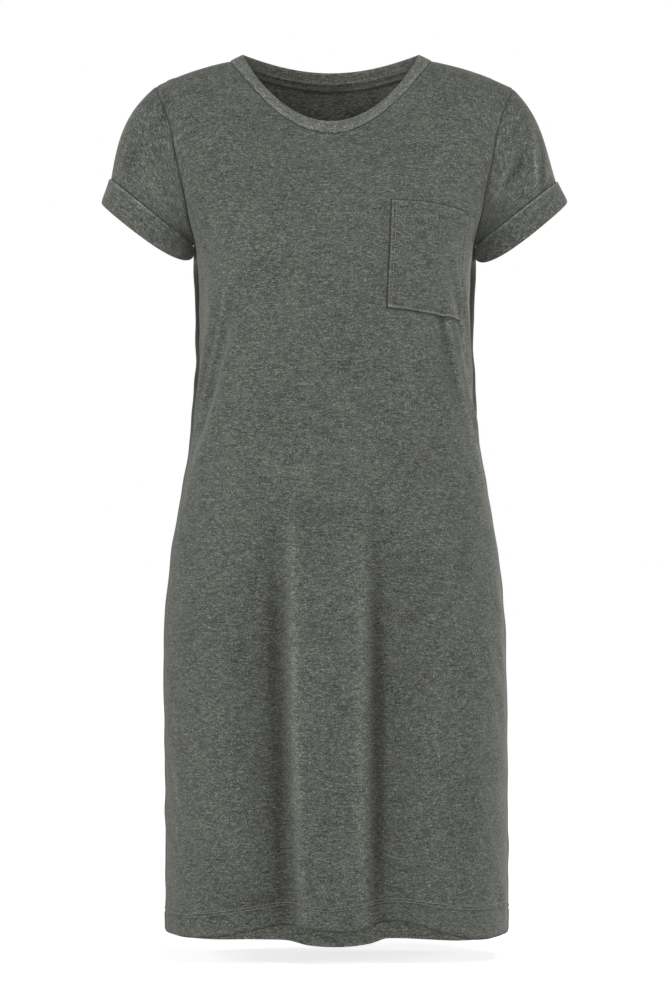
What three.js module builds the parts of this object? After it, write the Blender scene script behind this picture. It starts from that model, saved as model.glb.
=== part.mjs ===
// A t-shirt dress in grey heather jersey, with the form that it has when it is worn, and hollow.
// Front, back, two set-in sleeves with turned-up cuffs, a folded neckband, a tape inside the back neck
// and a chest pocket. Each piece of cloth is a thin closed wall. Neck, cuffs and hem are open.
// Millimetres, +Z up, the front faces -Y. The origin is midway between the high shoulder points.
import * as THREE from "three";

// Thickness of the cloth, and what lies on it
const wall = 1.5;
const hemWall = 2.6;
const hemHeight = 21;
const hemStep = 3;
const hemRises = [0, hemHeight];
const seamGap = 0.3;
const layerGap = 1.2;
const pocketWall = 1.2;
const pocketHemExtra = 0.5;
const pocketHemPart = 0.16;
const tapeWall = 1;
const tapeTop = 1.2;
const tapeHeight = 8.4;
const tapeRows = 3;

// A ring that is sewn to two panels has the same say as both together in the direction of its seam
const ringShare = 2;

// Mesh density
const shoulderColumns = 8;
const neckColumns = 20;
const skirtRows = 8;
const waistRows = 12;
const armholeRows = 12;
const sleeveRows = 7;
const pocketRows = 14;

// Landmarks of the cut
const middleX = -1;
const sideSeamY = 5;
const shoulderSeamY = 4;
const underarmZ = -196;
const waistDenseZ = -470;
const shoulderTip = { half: 187.2, z: -31.5 };
const shoulderTilt = 1.25;
const shoulderRound = 110;
const armholeFront = { depth: 55, rise: 70 };
const armholeBack = { depth: 47, rise: 80 };

// Level sections are ovals of this power, cut off at the armhole. The side seam lies in a narrow groove.
const ovalPower = 2.4;
const grooveAngle = 0.13;

// Neck: the seam that joins the neckband to the panels, and the band's free folded edge
const neckSeam = {
  middleX: -5, half: 107, z: -2, frontDrop: 82, backDrop: 23.5, frontPower: 2.2, backPower: 2.4,
};
const neckEdge = {
  middleX: -4.9, half: 92.2, z: 3, frontDrop: 73.5, backDrop: 16.5, frontPower: 1.75, backPower: 2.3,
  frontY: -57, backY: 45, depthPower: 1.15,
};

// Level sections. half is the half width at the seam: side seam below the underarm, armhole above it.
// y is the panel at its middle, full is how far the panel swells out beside its seam.
const frontSections = [
  { z: -960, half: 177.3, y: -118, full: 3.5 },
  { z: -760, half: 177.3, y: -117, full: 3.5 },
  { z: -640, half: 178, y: -116, full: 3 },
  { z: -581, half: 175.3, y: -115, full: 3 },
  { z: -518, half: 170, y: -113, full: 3 },
  { z: -455, half: 158, y: -111, full: 3 },
  { z: -392, half: 147, y: -110, full: 3 },
  { z: -318, half: 140.5, y: -111, full: 4 },
  { z: -235, half: 140, y: -118, full: 5 },
  { z: -210, half: 142, y: -116.5, full: 4 },
  { z: -196, half: 145, y: -113, full: 3 },
  { z: -170, half: 152.5, y: -105, full: 1 },
  { z: -147, half: 156.5, y: -96, full: 0 },
  { z: -110, half: 165, y: -79, full: 0 },
  { z: -84, half: 169.5, y: -67.5, full: 0 },
  { z: -60, half: 178, y: -58, full: 0 },
  { z: -31.5, half: 187.2, y: -53, full: 0 },
  { z: 10, half: 187.2, y: -50, full: 0 },
];
const backSections = [
  { z: -960, half: 177.3, y: 112, full: 8 },
  { z: -760, half: 177.3, y: 110, full: 8 },
  { z: -640, half: 178, y: 108, full: 7 },
  { z: -581, half: 175.3, y: 106, full: 7.5 },
  { z: -518, half: 170, y: 99, full: 6 },
  { z: -455, half: 158, y: 90, full: 7 },
  { z: -392, half: 147, y: 83, full: 7 },
  { z: -318, half: 140.5, y: 81, full: 8.5 },
  { z: -235, half: 140, y: 88, full: 13 },
  { z: -210, half: 142, y: 91, full: 11 },
  { z: -196, half: 145, y: 92, full: 7 },
  { z: -170, half: 156, y: 93.5, full: 1 },
  { z: -147, half: 161.5, y: 94, full: 0 },
  { z: -110, half: 169, y: 90, full: 0 },
  { z: -84, half: 174, y: 84, full: 0 },
  { z: -60, half: 179, y: 77, full: 0 },
  { z: -31.5, half: 187.2, y: 68, full: 0 },
  { z: 10, half: 187.2, y: 58, full: 0 },
];

// Hem edge. turn runs from -1 at the side seam at -X to 1 at the side seam at +X.
const frontHem = [
  { turn: -1, z: -914 },
  { turn: -0.65, z: -918.8 },
  { turn: -0.45, z: -916.7 },
  { turn: -0.3, z: -908.5 },
  { turn: -0.2, z: -904 },
  { turn: -0.05, z: -909.5 },
  { turn: 0.07, z: -910 },
  { turn: 0.18, z: -901 },
  { turn: 0.27, z: -901 },
  { turn: 0.4, z: -912.5 },
  { turn: 0.55, z: -920.5 },
  { turn: 0.8, z: -918.7 },
  { turn: 1, z: -915 },
];
const backHem = [
  { turn: -1, z: -914 },
  { turn: -0.75, z: -926 },
  { turn: -0.5, z: -933.5 },
  { turn: -0.2, z: -935.2 },
  { turn: -0.1, z: -942 },
  { turn: 0.02, z: -944 },
  { turn: 0.12, z: -940 },
  { turn: 0.2, z: -933.3 },
  { turn: 0.48, z: -935.2 },
  { turn: 0.75, z: -927 },
  { turn: 1, z: -915 },
];

// Folds that hang down a panel: turn at three heights, half width, height out of the cloth, fade at its ends
const clothHalfArc = 200;
const seamFade = 0.16;
const frontFolds = [
  { turn: [-0.42, -0.42, -0.42], z: [-100, -185, -270], width: 48, height: 5, fade: 70 },
  { turn: [0.36, 0.36, 0.36], z: [-90, -170, -260], width: 48, height: 5, fade: 70 },
  { turn: [-0.57, -0.74, -0.9], z: [-225, -310, -410], width: 12, height: 3, fade: 50 },
  { turn: [-0.5, -0.65, -0.85], z: [-240, -335, -430], width: 12, height: -3.5, fade: 55 },
  { turn: [-0.43, -0.56, -0.8], z: [-245, -335, -470], width: 14, height: 4, fade: 60 },
  { turn: [0.7, 0.8, 0.92], z: [-215, -285, -370], width: 12, height: 3, fade: 45 },
  { turn: [0.63, 0.74, 0.88], z: [-225, -305, -400], width: 12, height: -3, fade: 45 },
  { turn: [0.55, 0.73, 0.95], z: [-225, -316, -440], width: 13, height: 4.5, fade: 55 },
  { turn: [-0.145, -0.141, -0.081], z: [-430, -690, -990], width: 9, height: 4, fade: 110 },
  { turn: [-0.262, -0.262, -0.183], z: [-420, -713, -1060], width: 24, height: -12, fade: 170 },
  { turn: [-0.205, -0.2, -0.12], z: [-440, -713, -1060], width: 11, height: -5, fade: 170 },
  { turn: [0.26, 0.25, 0.245], z: [-400, -640, -1060], width: 25, height: -10, fade: 220 },
  { turn: [0.165, 0.16, 0.155], z: [-420, -640, -1060], width: 11, height: -6, fade: 200 },
  { turn: [-0.03, -0.03, -0.03], z: [-520, -760, -1060], width: 27, height: 5, fade: 170 },
  { turn: [-0.52, -0.52, -0.52], z: [-560, -800, -1060], width: 38, height: 8, fade: 190 },
  { turn: [0.5, 0.5, 0.5], z: [-540, -760, -1060], width: 38, height: 8, fade: 190 },
];
const backFolds = [
  { turn: [-0.38, -0.47, -0.62], z: [-205, -290, -390], width: 16, height: 3.5, fade: 60 },
  { turn: [-0.28, -0.36, -0.5], z: [-225, -310, -400], width: 18, height: -3, fade: 60 },
  { turn: [0.34, 0.45, 0.63], z: [-195, -285, -395], width: 15, height: 3.5, fade: 60 },
  { turn: [0.25, 0.35, 0.5], z: [-215, -300, -405], width: 18, height: -3, fade: 60 },
  { turn: [-0.72, -0.82, -0.92], z: [-235, -320, -430], width: 12, height: 3, fade: 50 },
  { turn: [0.74, 0.82, 0.91], z: [-230, -300, -400], width: 12, height: 3, fade: 50 },
  { turn: [0, 0, 0.01], z: [-600, -780, -1080], width: 30, height: 8, fade: 170 },
  { turn: [-0.2, -0.22, -0.24], z: [-520, -740, -1080], width: 25, height: -9, fade: 180 },
  { turn: [0.2, 0.22, 0.25], z: [-560, -760, -1080], width: 23, height: -8, fade: 180 },
  { turn: [0.46, 0.5, 0.52], z: [-620, -800, -1080], width: 34, height: 5, fade: 170 },
  { turn: [-0.5, -0.52, -0.56], z: [-590, -780, -1080], width: 36, height: 5, fade: 170 },
];

// Sleeves: how they leave the armhole and arrive at the cuff, and where their creases fade in and out
const cuffProud = 1.2;
const cuffTopDepth = 47;
const cuffEndDepth = 49;
const sleeveHandle = 0.4;
const sleeveSideLift = 0.35;
const sleeveArrival = 0.18;
const creaseStart = 0.5;
const creaseEnd = 0.25;

// How far the folded edge of a cuff hangs below the line between its ends, near the underarm and near the
// outer end
const cuffBow = {
  front: { inner: 19, outer: 7 },
  back: { inner: 11, outer: 4 },
};
const noBow = {
  front: { inner: 0, outer: 0 },
  back: { inner: 0, outer: 0 },
};

// Ends of the sleeves in the X Z plane, outer end and underarm end: the cuff's top line, and its folded edge.
// lift is how far the sleeve's head stands out from the armhole.
const sleeves = [
  {
    name: "right", side: -1, lift: 0.65,
    topOuter: [-236.8, -127.1], topInner: [-149.2, -199.5],
    endOuter: [-246.2, -153.3], endInner: [-149.6, -209.5],
  },
  {
    name: "left", side: 1, lift: 0.5,
    topOuter: [232.6, -130.2], topInner: [147, -200.6],
    endOuter: [244.1, -152.3], endInner: [147.5, -212],
  },
];

// Creases of the sleeves, on their front and back: x and z at three places, as for the folds above
const sleeveFolds = [
  { side: 1, face: -1, x: [208, 212, 215], z: [-78, -108, -146], width: 7, height: 3, fade: 25 },
  { side: 1, face: -1, x: [203, 186, 160], z: [-90, -122, -146], width: 9, height: -3.5, fade: 25 },
  { side: 1, face: -1, x: [190, 177, 160], z: [-100, -128, -160], width: 8, height: 2.5, fade: 20 },
  { side: -1, face: -1, x: [-196, -187, -168], z: [-95, -130, -165], width: 12, height: -2, fade: 30 },
  { side: 1, face: 1, x: [205, 190, 168], z: [-85, -120, -155], width: 12, height: -3, fade: 25 },
  { side: -1, face: 1, x: [-204, -190, -166], z: [-80, -118, -158], width: 11, height: -3, fade: 25 },
];

// Profiles from a seam to a folded edge: how far the outer face stands out, and the thickness there
const cuffProfile = [
  { along: 0, lift: 1.2, thick: 3 },
  { along: 0.45, lift: 1.7, thick: 3.5 },
  { along: 0.9, lift: 1.3, thick: 3.1 },
  { along: 1, lift: 0.1, thick: 1.4 },
];
const neckbandProfile = [
  { along: 0, lift: 0.3, thick: 1.9 },
  { along: 0.45, lift: 0.9, thick: 2.4 },
  { along: 0.88, lift: 0.6, thick: 2.1 },
  { along: 1, lift: -0.3, thick: 0.9 },
];

// Pocket corners on the front: place among the panel's columns and height. Its top edge bows up a little.
const pocketCorners = {
  topIn: { column: 22.35, z: -154.4 },
  topOut: { column: 31.5, z: -166.2 },
  lowIn: { column: 22.35, z: -267.3 },
  lowOut: { column: 30.9, z: -279.6 },
};
const pocketColumns = [22.35, 23, 24, 25, 26, 27, 28, 29, 30, 30.9];
const pocketTopRise = 2.6;

// Colour of each piece
const cloth = {
  front: "#5c5e59",
  back: "#595b56",
  sleeve_left: "#5b5d58",
  sleeve_right: "#5b5d58",
  cuff_left: "#5c5e59",
  cuff_right: "#5c5e59",
  neckband: "#676965",
  neck_tape: "#4a4b49",
  pocket: "#5d5f5a",
};

function clamp(value, low, high) {
  return Math.min(high, Math.max(low, value));
}

function mix(a, b, part) {
  return a + (b - a) * part;
}

function smooth(value) {
  const s = clamp(value, 0, 1);
  return s * s * (3 - 2 * s);
}

// Depth of an oval section at a part of its half width. The same formula turns depth into width.
function ovalDepth(part) {
  return (1 - part ** ovalPower) ** (1 / ovalPower);
}

// Height of a quarter circle, 0 at 0 and 1 at 1
function quarterRound(value) {
  const s = clamp(value, 0, 1);
  return Math.sqrt(s * (2 - s));
}

// One column of a table, smooth between its rows, at a place along another column
function read(table, along, column, place) {
  const last = table.length - 1;
  let i = 0;
  while (i < last - 1 && table[i + 1][along] < place) {
    i += 1;
  }
  const slope = (k) => {
    const a = table[Math.max(0, k - 1)];
    const b = table[Math.min(last, k + 1)];
    return (b[column] - a[column]) / (b[along] - a[along]);
  };
  const span = table[i + 1][along] - table[i][along];
  const s = clamp((place - table[i][along]) / span, 0, 1);
  const s2 = s * s;
  const s3 = s2 * s;
  return table[i][column] * (2 * s3 - 3 * s2 + 1) + slope(i) * span * (s3 - 2 * s2 + s)
    + table[i + 1][column] * (3 * s2 - 2 * s3) + slope(i + 1) * span * (s3 - s2);
}

// Value at a height of the curve through three places
function throughThree(values, heights, z) {
  let sum = 0;
  for (let i = 0; i < 3; i += 1) {
    const a = heights[(i + 1) % 3];
    const b = heights[(i + 2) % 3];
    sum += values[i] * (z - a) * (z - b) / ((heights[i] - a) * (heights[i] - b));
  }
  return sum;
}

// Height that one fold adds at a distance from its line
function foldHeight(fold, distance, z) {
  const fade = smooth((fold.z[0] - z) / fold.fade) * smooth((z - fold.z[2]) / fold.fade);
  return fold.height * fade * Math.exp(-((distance / fold.width) ** 2));
}

// The two panels: sections, hem, folds, the way that they face, and their armhole
const panels = {
  front: { sections: frontSections, hem: frontHem, folds: frontFolds, face: -1, armhole: armholeFront },
  back: { sections: backSections, hem: backHem, folds: backFolds, face: 1, armhole: armholeBack },
};

// Shoulder seam height at a distance from the middle. It carries on over the neck.
function shoulderHeight(x) {
  const reach = Math.abs(x - middleX) ** 3;
  const start = neckSeam.half ** 3;
  const part = (reach - start) / (shoulderTip.half ** 3 - start);
  return mix(neckSeam.z, shoulderTip.z, part) - shoulderTilt * (x - middleX) / shoulderTip.half;
}

function halfWidth(panel, z) {
  return read(panel.sections, "z", "half", Math.min(z, shoulderTip.z));
}

// A point of a panel. t runs from -1 to 1 across it, z is the height.
function panelPoint(panel, t, z) {
  const half = halfWidth(panel, z);
  const middleY = read(panel.sections, "z", "y", z);
  const full = read(panel.sections, "z", "full", z);
  const edgeDepth = panel.armhole.depth * quarterRound((z - underarmZ) / panel.armhole.rise);
  const depth = panel.face * (middleY - sideSeamY);
  const reach = ovalDepth(edgeDepth / depth);
  const level = ovalDepth(Math.abs(t) * reach);
  const angle = Math.acos(Math.abs(t));
  const swell = full * (Math.abs(t) - Math.exp(-((angle / grooveAngle) ** 2)));
  const turn = 2 * Math.asin(t) / Math.PI;
  let relief = 0;
  for (const fold of panel.folds) {
    relief += foldHeight(fold, (turn - throughThree(fold.turn, fold.z, z)) * clothHalfArc, z);
  }
  relief *= smooth((1 - Math.abs(turn)) / seamFade);
  const x = middleX + t * half + Math.sign(t) * swell;
  const y = mix(sideSeamY, middleY, level);
  const round = quarterRound((shoulderHeight(x) - z) / shoulderRound);
  return new THREE.Vector3(
    x + relief * t,
    mix(shoulderSeamY, y, round) + panel.face * relief * Math.sqrt(1 - t * t),
    z,
  );
}

// Point of the neck seam in the X Z plane, by its angle from the -X shoulder to the +X shoulder
function neckSeamPoint(face, angle) {
  const x = neckSeam.middleX - neckSeam.half * Math.cos(angle);
  const startZ = shoulderHeight(neckSeam.middleX - neckSeam.half);
  const endZ = shoulderHeight(neckSeam.middleX + neckSeam.half);
  const drop = face < 0 ? neckSeam.frontDrop : neckSeam.backDrop;
  const power = face < 0 ? neckSeam.frontPower : neckSeam.backPower;
  return [x, mix(startZ, endZ, angle / Math.PI) - drop * Math.sin(angle) ** power];
}

// Top edge of a panel, as t and z: shoulder seam, neck, shoulder seam
function topEdge(panel, column) {
  const columns = 2 * shoulderColumns + neckColumns;
  const fromEnd = Math.min(column, columns - column);
  if (fromEnd > shoulderColumns) {
    const angle = Math.PI * (column - shoulderColumns) / neckColumns;
    const [x, z] = neckSeamPoint(panel.face, angle);
    return [(x - middleX) / halfWidth(panel, z), z];
  }
  const side = column < columns / 2 ? -1 : 1;
  const tipX = middleX + side * shoulderTip.half;
  const neckX = neckSeam.middleX + side * neckSeam.half;
  const x = mix(tipX, neckX, fromEnd / shoulderColumns);
  return [(x - middleX) / shoulderTip.half, shoulderHeight(x)];
}

// Grid of a panel: rows from the hem to the top edge, columns in the order that faces its normals out
function panelGrid(panel) {
  const columns = 2 * shoulderColumns + neckColumns;
  const grid = [];
  const addRow = (place) => {
    const row = [];
    for (let column = 0; column <= columns; column += 1) {
      row.push(place(panel.face < 0 ? column : columns - column));
    }
    grid.push(row);
  };
  const across = (column) => -Math.cos(Math.PI * column / columns);
  const hemAt = (column) => read(panel.hem, "turn", "z", 2 * column / columns - 1);
  for (const rise of hemRises) {
    addRow((column) => panelPoint(panel, across(column), hemAt(column) + rise));
  }
  for (let i = 0; i < skirtRows; i += 1) {
    const from = (column) => hemAt(column) + hemHeight + hemStep;
    addRow((column) => panelPoint(panel, across(column), mix(from(column), waistDenseZ, i / skirtRows)));
  }
  for (let i = 0; i < waistRows; i += 1) {
    addRow((column) => panelPoint(panel, across(column), mix(waistDenseZ, underarmZ, i / waistRows)));
  }
  for (let i = 0; i <= armholeRows; i += 1) {
    const up = (1 - Math.cos(Math.PI * i / armholeRows)) / 2;
    addRow((column) => {
      const [topT, topZ] = topEdge(panel, column);
      return panelPoint(panel, mix(across(column), topT, up), mix(underarmZ, topZ, up));
    });
  }
  return grid;
}

// Ring of a sleeve's end, one point for each point of the armhole, starting at the underarm
function sleeveRing(sleeve, outer, inner, depth, count, bow) {
  const ring = [];
  for (let k = 0; k < count; k += 1) {
    const angle = 2 * Math.PI * k / count;
    const part = (1 - Math.cos(angle)) / 2;
    const forward = sleeve.side * Math.sin(angle);
    const { inner: innerBow, outer: outerBow } = forward < 0 ? bow.front : bow.back;
    ring.push(new THREE.Vector3(
      mix(inner[0], outer[0], part),
      sideSeamY + depth * forward,
      mix(inner[1], outer[1], part) - mix(innerBow, outerBow, part) * Math.abs(forward),
    ));
  }
  return ring;
}

// Loop of an armhole, from the underarm round. It takes the panels' own points.
function armholeLoop(sleeve, frontGrid, backGrid) {
  const start = frontGrid.length - 1 - armholeRows;
  const edge = (grid, column) => grid.slice(start).map((row) => row.at(column));
  const frontEdge = edge(frontGrid, sleeve.side < 0 ? 0 : -1);
  const backEdge = edge(backGrid, sleeve.side < 0 ? -1 : 0);
  const [first, second] = sleeve.side < 0 ? [frontEdge, backEdge] : [backEdge, frontEdge];
  return [...first, ...second.slice(1, -1).reverse()];
}

function moveInward(ends, amount) {
  const [a, b] = ends;
  const length = Math.hypot(b[0] - a[0], b[1] - a[1]);
  const step = (from, to) => from.map((value, i) => value + (to[i] - value) * amount / length);
  return [step(a, b), step(b, a)];
}

// Sleeve from armhole to cuff line, and the cuff from there to its folded edge
function sleeveGrids(sleeve, loop) {
  const count = loop.length;
  const [topOuter, topInner] = moveInward([sleeve.topOuter, sleeve.topInner], cuffProud);
  const [endOuter, endInner] = moveInward([sleeve.endOuter, sleeve.endInner], cuffProud);
  const top = sleeveRing(sleeve, topOuter, topInner, cuffTopDepth, count, noBow);
  const end = sleeveRing(sleeve, endOuter, endInner, cuffEndDepth, count, cuffBow);
  const lines = loop.map((start, k) => {
    const angle = 2 * Math.PI * k / count;
    const chord = top[k].clone().sub(start);
    const reach = chord.length() * sleeveHandle;
    const outward = sleeve.side * (1 - Math.cos(angle)) / 2;
    const sideways = sleeve.side * Math.sin(angle);
    const spread = new THREE.Vector3(outward * sleeve.lift, sideways * sleeveSideLift, 0);
    const leave = chord.clone().normalize().add(spread).normalize();
    const drawnIn = new THREE.Vector3(-outward * sleeveArrival, -sideways * sleeveArrival, 0);
    const arrive = end[k].clone().sub(top[k]).normalize().add(drawnIn).normalize();
    return new THREE.CubicBezierCurve3(
      start,
      start.clone().addScaledVector(leave, reach),
      top[k].clone().addScaledVector(arrive, -reach),
      top[k],
    );
  });
  const sleeveGrid = [];
  for (let i = 0; i <= sleeveRows; i += 1) {
    const s = i / sleeveRows;
    sleeveGrid.push(lines.map((line, k) => {
      if (i === 0) {
        return loop[k];
      }
      const point = line.getPoint(s);
      const face = Math.sign(sleeve.side * Math.sin(2 * Math.PI * k / count));
      let relief = 0;
      for (const fold of sleeveFolds) {
        if (fold.side === sleeve.side && fold.face === face) {
          relief += foldHeight(fold, point.x - throughThree(fold.x, fold.z, point.z), point.z);
        }
      }
      point.y += face * relief * smooth(s / creaseStart) * smooth((1 - s) / creaseEnd);
      return point;
    }));
  }
  const cuffGrid = cuffProfile.map(({ along }) => top.map((point, k) => (
    along === 0 ? sleeveGrid.at(-1)[k] : point.clone().lerp(end[k], along)
  )));
  return { sleeveGrid, cuffGrid };
}

// Neckband from the neck seam to its free edge. The loop takes the panels' own points.
function neckbandGrid(frontGrid, backGrid) {
  const stations = [];
  for (const [grid, face] of [[frontGrid, -1], [backGrid, 1]]) {
    for (let i = 0; i < neckColumns; i += 1) {
      const angle = Math.PI * (face < 0 ? i : neckColumns - i) / neckColumns;
      const drop = face < 0 ? neckEdge.frontDrop : neckEdge.backDrop;
      const power = face < 0 ? neckEdge.frontPower : neckEdge.backPower;
      const deep = face < 0 ? neckEdge.frontY : neckEdge.backY;
      stations.push({
        seam: grid.at(-1)[shoulderColumns + i],
        edge: new THREE.Vector3(
          neckEdge.middleX - neckEdge.half * Math.cos(angle),
          mix(shoulderSeamY, deep, Math.sin(angle) ** neckEdge.depthPower),
          neckEdge.z - drop * Math.sin(angle) ** power,
        ),
      });
    }
  }
  return neckbandProfile.map(({ along }) => stations.map(({ seam, edge }) => (
    along === 0 ? seam : seam.clone().lerp(edge, along)
  )));
}

// Point of a grid's column, at a distance below the grid's top edge
function belowTop(grid, column, distance) {
  let r = grid.length - 1;
  let left = distance;
  let step = grid[r][column].distanceTo(grid[r - 1][column]);
  while (left > step) {
    left -= step;
    r -= 1;
    step = grid[r][column].distanceTo(grid[r - 1][column]);
  }
  return grid[r][column].clone().lerp(grid[r - 1][column], left / step);
}

// Tape below the back neck seam, from shoulder to shoulder
function tapeGrid(backGrid) {
  const grid = [];
  for (let i = tapeRows; i >= 0; i -= 1) {
    const row = [];
    for (let column = shoulderColumns + 1; column < shoulderColumns + neckColumns; column += 1) {
      row.push(belowTop(backGrid, column, tapeTop + tapeHeight * i / tapeRows));
    }
    grid.push(row);
  }
  return grid;
}

// Point of a panel's own facets, at a place among its columns and a height
function onPanel(grid, column, z) {
  const onColumn = (c) => {
    let r = 0;
    while (r < grid.length - 2 && grid[r + 1][c].z < z) {
      r += 1;
    }
    const part = (z - grid[r][c].z) / (grid[r + 1][c].z - grid[r][c].z);
    return grid[r][c].clone().lerp(grid[r + 1][c], part);
  };
  const first = Math.floor(column);
  return onColumn(first).lerp(onColumn(first + 1), column - first);
}

// Pocket, by its corners on the front panel
function pocketGrid(frontGrid) {
  const { topIn, topOut, lowIn, lowOut } = pocketCorners;
  const ups = [0];
  for (let i = 1; i < pocketRows; i += 1) {
    ups.push((1 - pocketHemPart) * i / (pocketRows - 1));
  }
  ups.push(1);
  return ups.map((up) => pocketColumns.map((column) => {
    const part = (column - lowIn.column) / (lowOut.column - lowIn.column);
    const low = mix(lowIn.z, lowOut.z, part);
    const top = mix(topIn.z, topOut.z, part) + pocketTopRise * Math.sin(Math.PI * part);
    const spread = (topOut.column - lowOut.column) * part * up;
    return onPanel(frontGrid, column + spread, mix(low, top, up));
  }));
}

// Outward direction at each point of a grid
function gridNormals(grid, closed) {
  return grid.map((row, r) => row.map((point, c) => {
    const count = row.length;
    const lower = grid[Math.max(0, r - 1)][c];
    const upper = grid[Math.min(grid.length - 1, r + 1)][c];
    const before = closed ? row[(c + count - 1) % count] : row[Math.max(0, c - 1)];
    const after = closed ? row[(c + 1) % count] : row[Math.min(count - 1, c + 1)];
    const across = after.clone().sub(before);
    return across.cross(upper.clone().sub(lower)).normalize();
  }));
}

function pointKey(point) {
  return point.toArray().map((value) => value.toFixed(2)).join(" ");
}

// Closed wall of a grid. At a seam both pieces use one shared direction, and each stands back from it.
function wallGeometry(piece, sharedNormals) {
  const { grid, closed, profile } = piece;
  const rows = grid.length;
  const columns = grid[0].length;
  const outer = [];
  const inner = [];
  for (let r = 0; r < rows; r += 1) {
    for (let c = 0; c < columns; c += 1) {
      const point = grid[r][c];
      const normal = sharedNormals.get(pointKey(point)).clone().normalize();
      const back = new THREE.Vector3();
      const stepTo = (neighbour) => {
        const step = neighbour.clone().sub(point);
        step.addScaledVector(normal, -step.dot(normal)).normalize();
        back.addScaledVector(step, seamGap / 2);
      };
      if (r === 0) {
        stepTo(grid[1][c]);
      }
      if (r === rows - 1) {
        stepTo(grid[rows - 2][c]);
      }
      if (!closed && c === 0) {
        stepTo(grid[r][1]);
      }
      if (!closed && c === columns - 1) {
        stepTo(grid[r][columns - 2]);
      }
      const { lift, thick } = profile(r);
      const face = point.clone().add(back).addScaledVector(normal, lift);
      outer.push(face);
      inner.push(face.clone().addScaledVector(normal, -thick));
    }
  }
  const points = [...outer, ...inner];
  const indices = [];
  const half = rows * columns;
  const quad = (a, b, c, d) => {
    if (points[a].distanceTo(points[c]) <= points[b].distanceTo(points[d])) {
      indices.push(a, b, c, a, c, d);
    } else {
      indices.push(a, b, d, b, c, d);
    }
  };
  const spans = closed ? columns : columns - 1;
  for (let r = 0; r < rows - 1; r += 1) {
    for (let c = 0; c < spans; c += 1) {
      const a = r * columns + c;
      const b = r * columns + (c + 1) % columns;
      const up = columns;
      quad(a, b, b + up, a + up);
      quad(half + a, half + a + up, half + b + up, half + b);
    }
  }
  for (let c = 0; c < spans; c += 1) {
    const next = (c + 1) % columns;
    const top = (rows - 1) * columns;
    quad(c, half + c, half + next, next);
    quad(top + c, top + next, half + top + next, half + top + c);
  }
  if (!closed) {
    for (let r = 0; r < rows - 1; r += 1) {
      const left = r * columns;
      const right = left + columns - 1;
      quad(left, left + columns, half + left + columns, half + left);
      quad(right, half + right, half + right + columns, right + columns);
    }
  }
  const geometry = new THREE.BufferGeometry();
  const positions = points.flatMap((point) => point.toArray());
  geometry.setAttribute("position", new THREE.Float32BufferAttribute(positions, 3));
  geometry.setIndex(indices);
  geometry.computeVertexNormals();
  return geometry;
}

// All pieces as grids, each with its profile by row
const frontGrid = panelGrid(panels.front);
const backGrid = panelGrid(panels.back);
const panelProfile = (r) => ({ lift: 0, thick: r < hemRises.length ? hemWall : wall });
const pieces = [
  { name: "front", grid: frontGrid, closed: false, profile: panelProfile },
  { name: "back", grid: backGrid, closed: false, profile: panelProfile },
];
for (const sleeve of sleeves) {
  const loop = armholeLoop(sleeve, frontGrid, backGrid);
  const { sleeveGrid, cuffGrid } = sleeveGrids(sleeve, loop);
  const sleeveProfile = () => ({ lift: 0, thick: wall });
  pieces.push({ name: `sleeve_${sleeve.name}`, grid: sleeveGrid, closed: true, profile: sleeveProfile });
  pieces.push({ name: `cuff_${sleeve.name}`, grid: cuffGrid, closed: true, profile: (r) => cuffProfile[r] });
}
pieces.push({
  name: "neckband",
  grid: neckbandGrid(frontGrid, backGrid),
  closed: true,
  profile: (r) => neckbandProfile[r],
});
pieces.push({
  name: "neck_tape",
  grid: tapeGrid(backGrid),
  closed: false,
  profile: () => ({ lift: -wall - layerGap, thick: tapeWall }),
});
pieces.push({
  name: "pocket",
  grid: pocketGrid(frontGrid),
  closed: false,
  profile: (r) => {
    const thick = r < pocketRows - 1 ? pocketWall : pocketWall + pocketHemExtra;
    return { lift: layerGap + thick, thick };
  },
});

// Directions, added up where pieces share a point, each by how much of the seam is its own
const sharedNormals = new Map();
for (const { grid, closed } of pieces) {
  const normals = gridNormals(grid, closed);
  grid.forEach((row, r) => row.forEach((point, c) => {
    const key = pointKey(point);
    if (!sharedNormals.has(key)) {
      sharedNormals.set(key, new THREE.Vector3());
    }
    sharedNormals.get(key).addScaledVector(normals[r][c], closed ? ringShare : 1);
  }));
}

const dress = new THREE.Group();
for (const piece of pieces) {
  const color = cloth[piece.name];
  const material = new THREE.MeshStandardMaterial({ color, roughness: 0.95, metalness: 0 });
  const mesh = new THREE.Mesh(wallGeometry(piece, sharedNormals), material);
  mesh.name = piece.name;
  dress.add(mesh);
}

export default dress;
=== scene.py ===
# A t-shirt dress in grey heather jersey, filled out as it is when worn, and hollow.
# Each piece of cloth is a thin closed wall on the form of its solid, with its creases, hems and stitches.
# Lengths are in millimetres up to the meshes, which are in metres. +Z is up and the front faces -Y.
import math
from collections import namedtuple

import bpy
import numpy as np
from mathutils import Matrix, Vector


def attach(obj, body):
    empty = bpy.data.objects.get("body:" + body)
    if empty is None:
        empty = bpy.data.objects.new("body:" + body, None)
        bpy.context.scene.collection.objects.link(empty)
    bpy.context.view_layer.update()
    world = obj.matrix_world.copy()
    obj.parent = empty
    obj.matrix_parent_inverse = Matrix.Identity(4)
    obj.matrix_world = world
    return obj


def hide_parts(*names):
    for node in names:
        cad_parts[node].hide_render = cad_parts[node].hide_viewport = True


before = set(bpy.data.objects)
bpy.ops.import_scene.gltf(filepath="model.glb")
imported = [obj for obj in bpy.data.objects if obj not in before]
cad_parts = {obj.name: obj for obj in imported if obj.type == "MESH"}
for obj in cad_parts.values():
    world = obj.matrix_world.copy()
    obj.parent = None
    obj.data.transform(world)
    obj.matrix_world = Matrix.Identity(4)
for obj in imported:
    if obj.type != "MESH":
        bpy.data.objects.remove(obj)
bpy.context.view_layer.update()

METRES = 0.001
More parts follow.
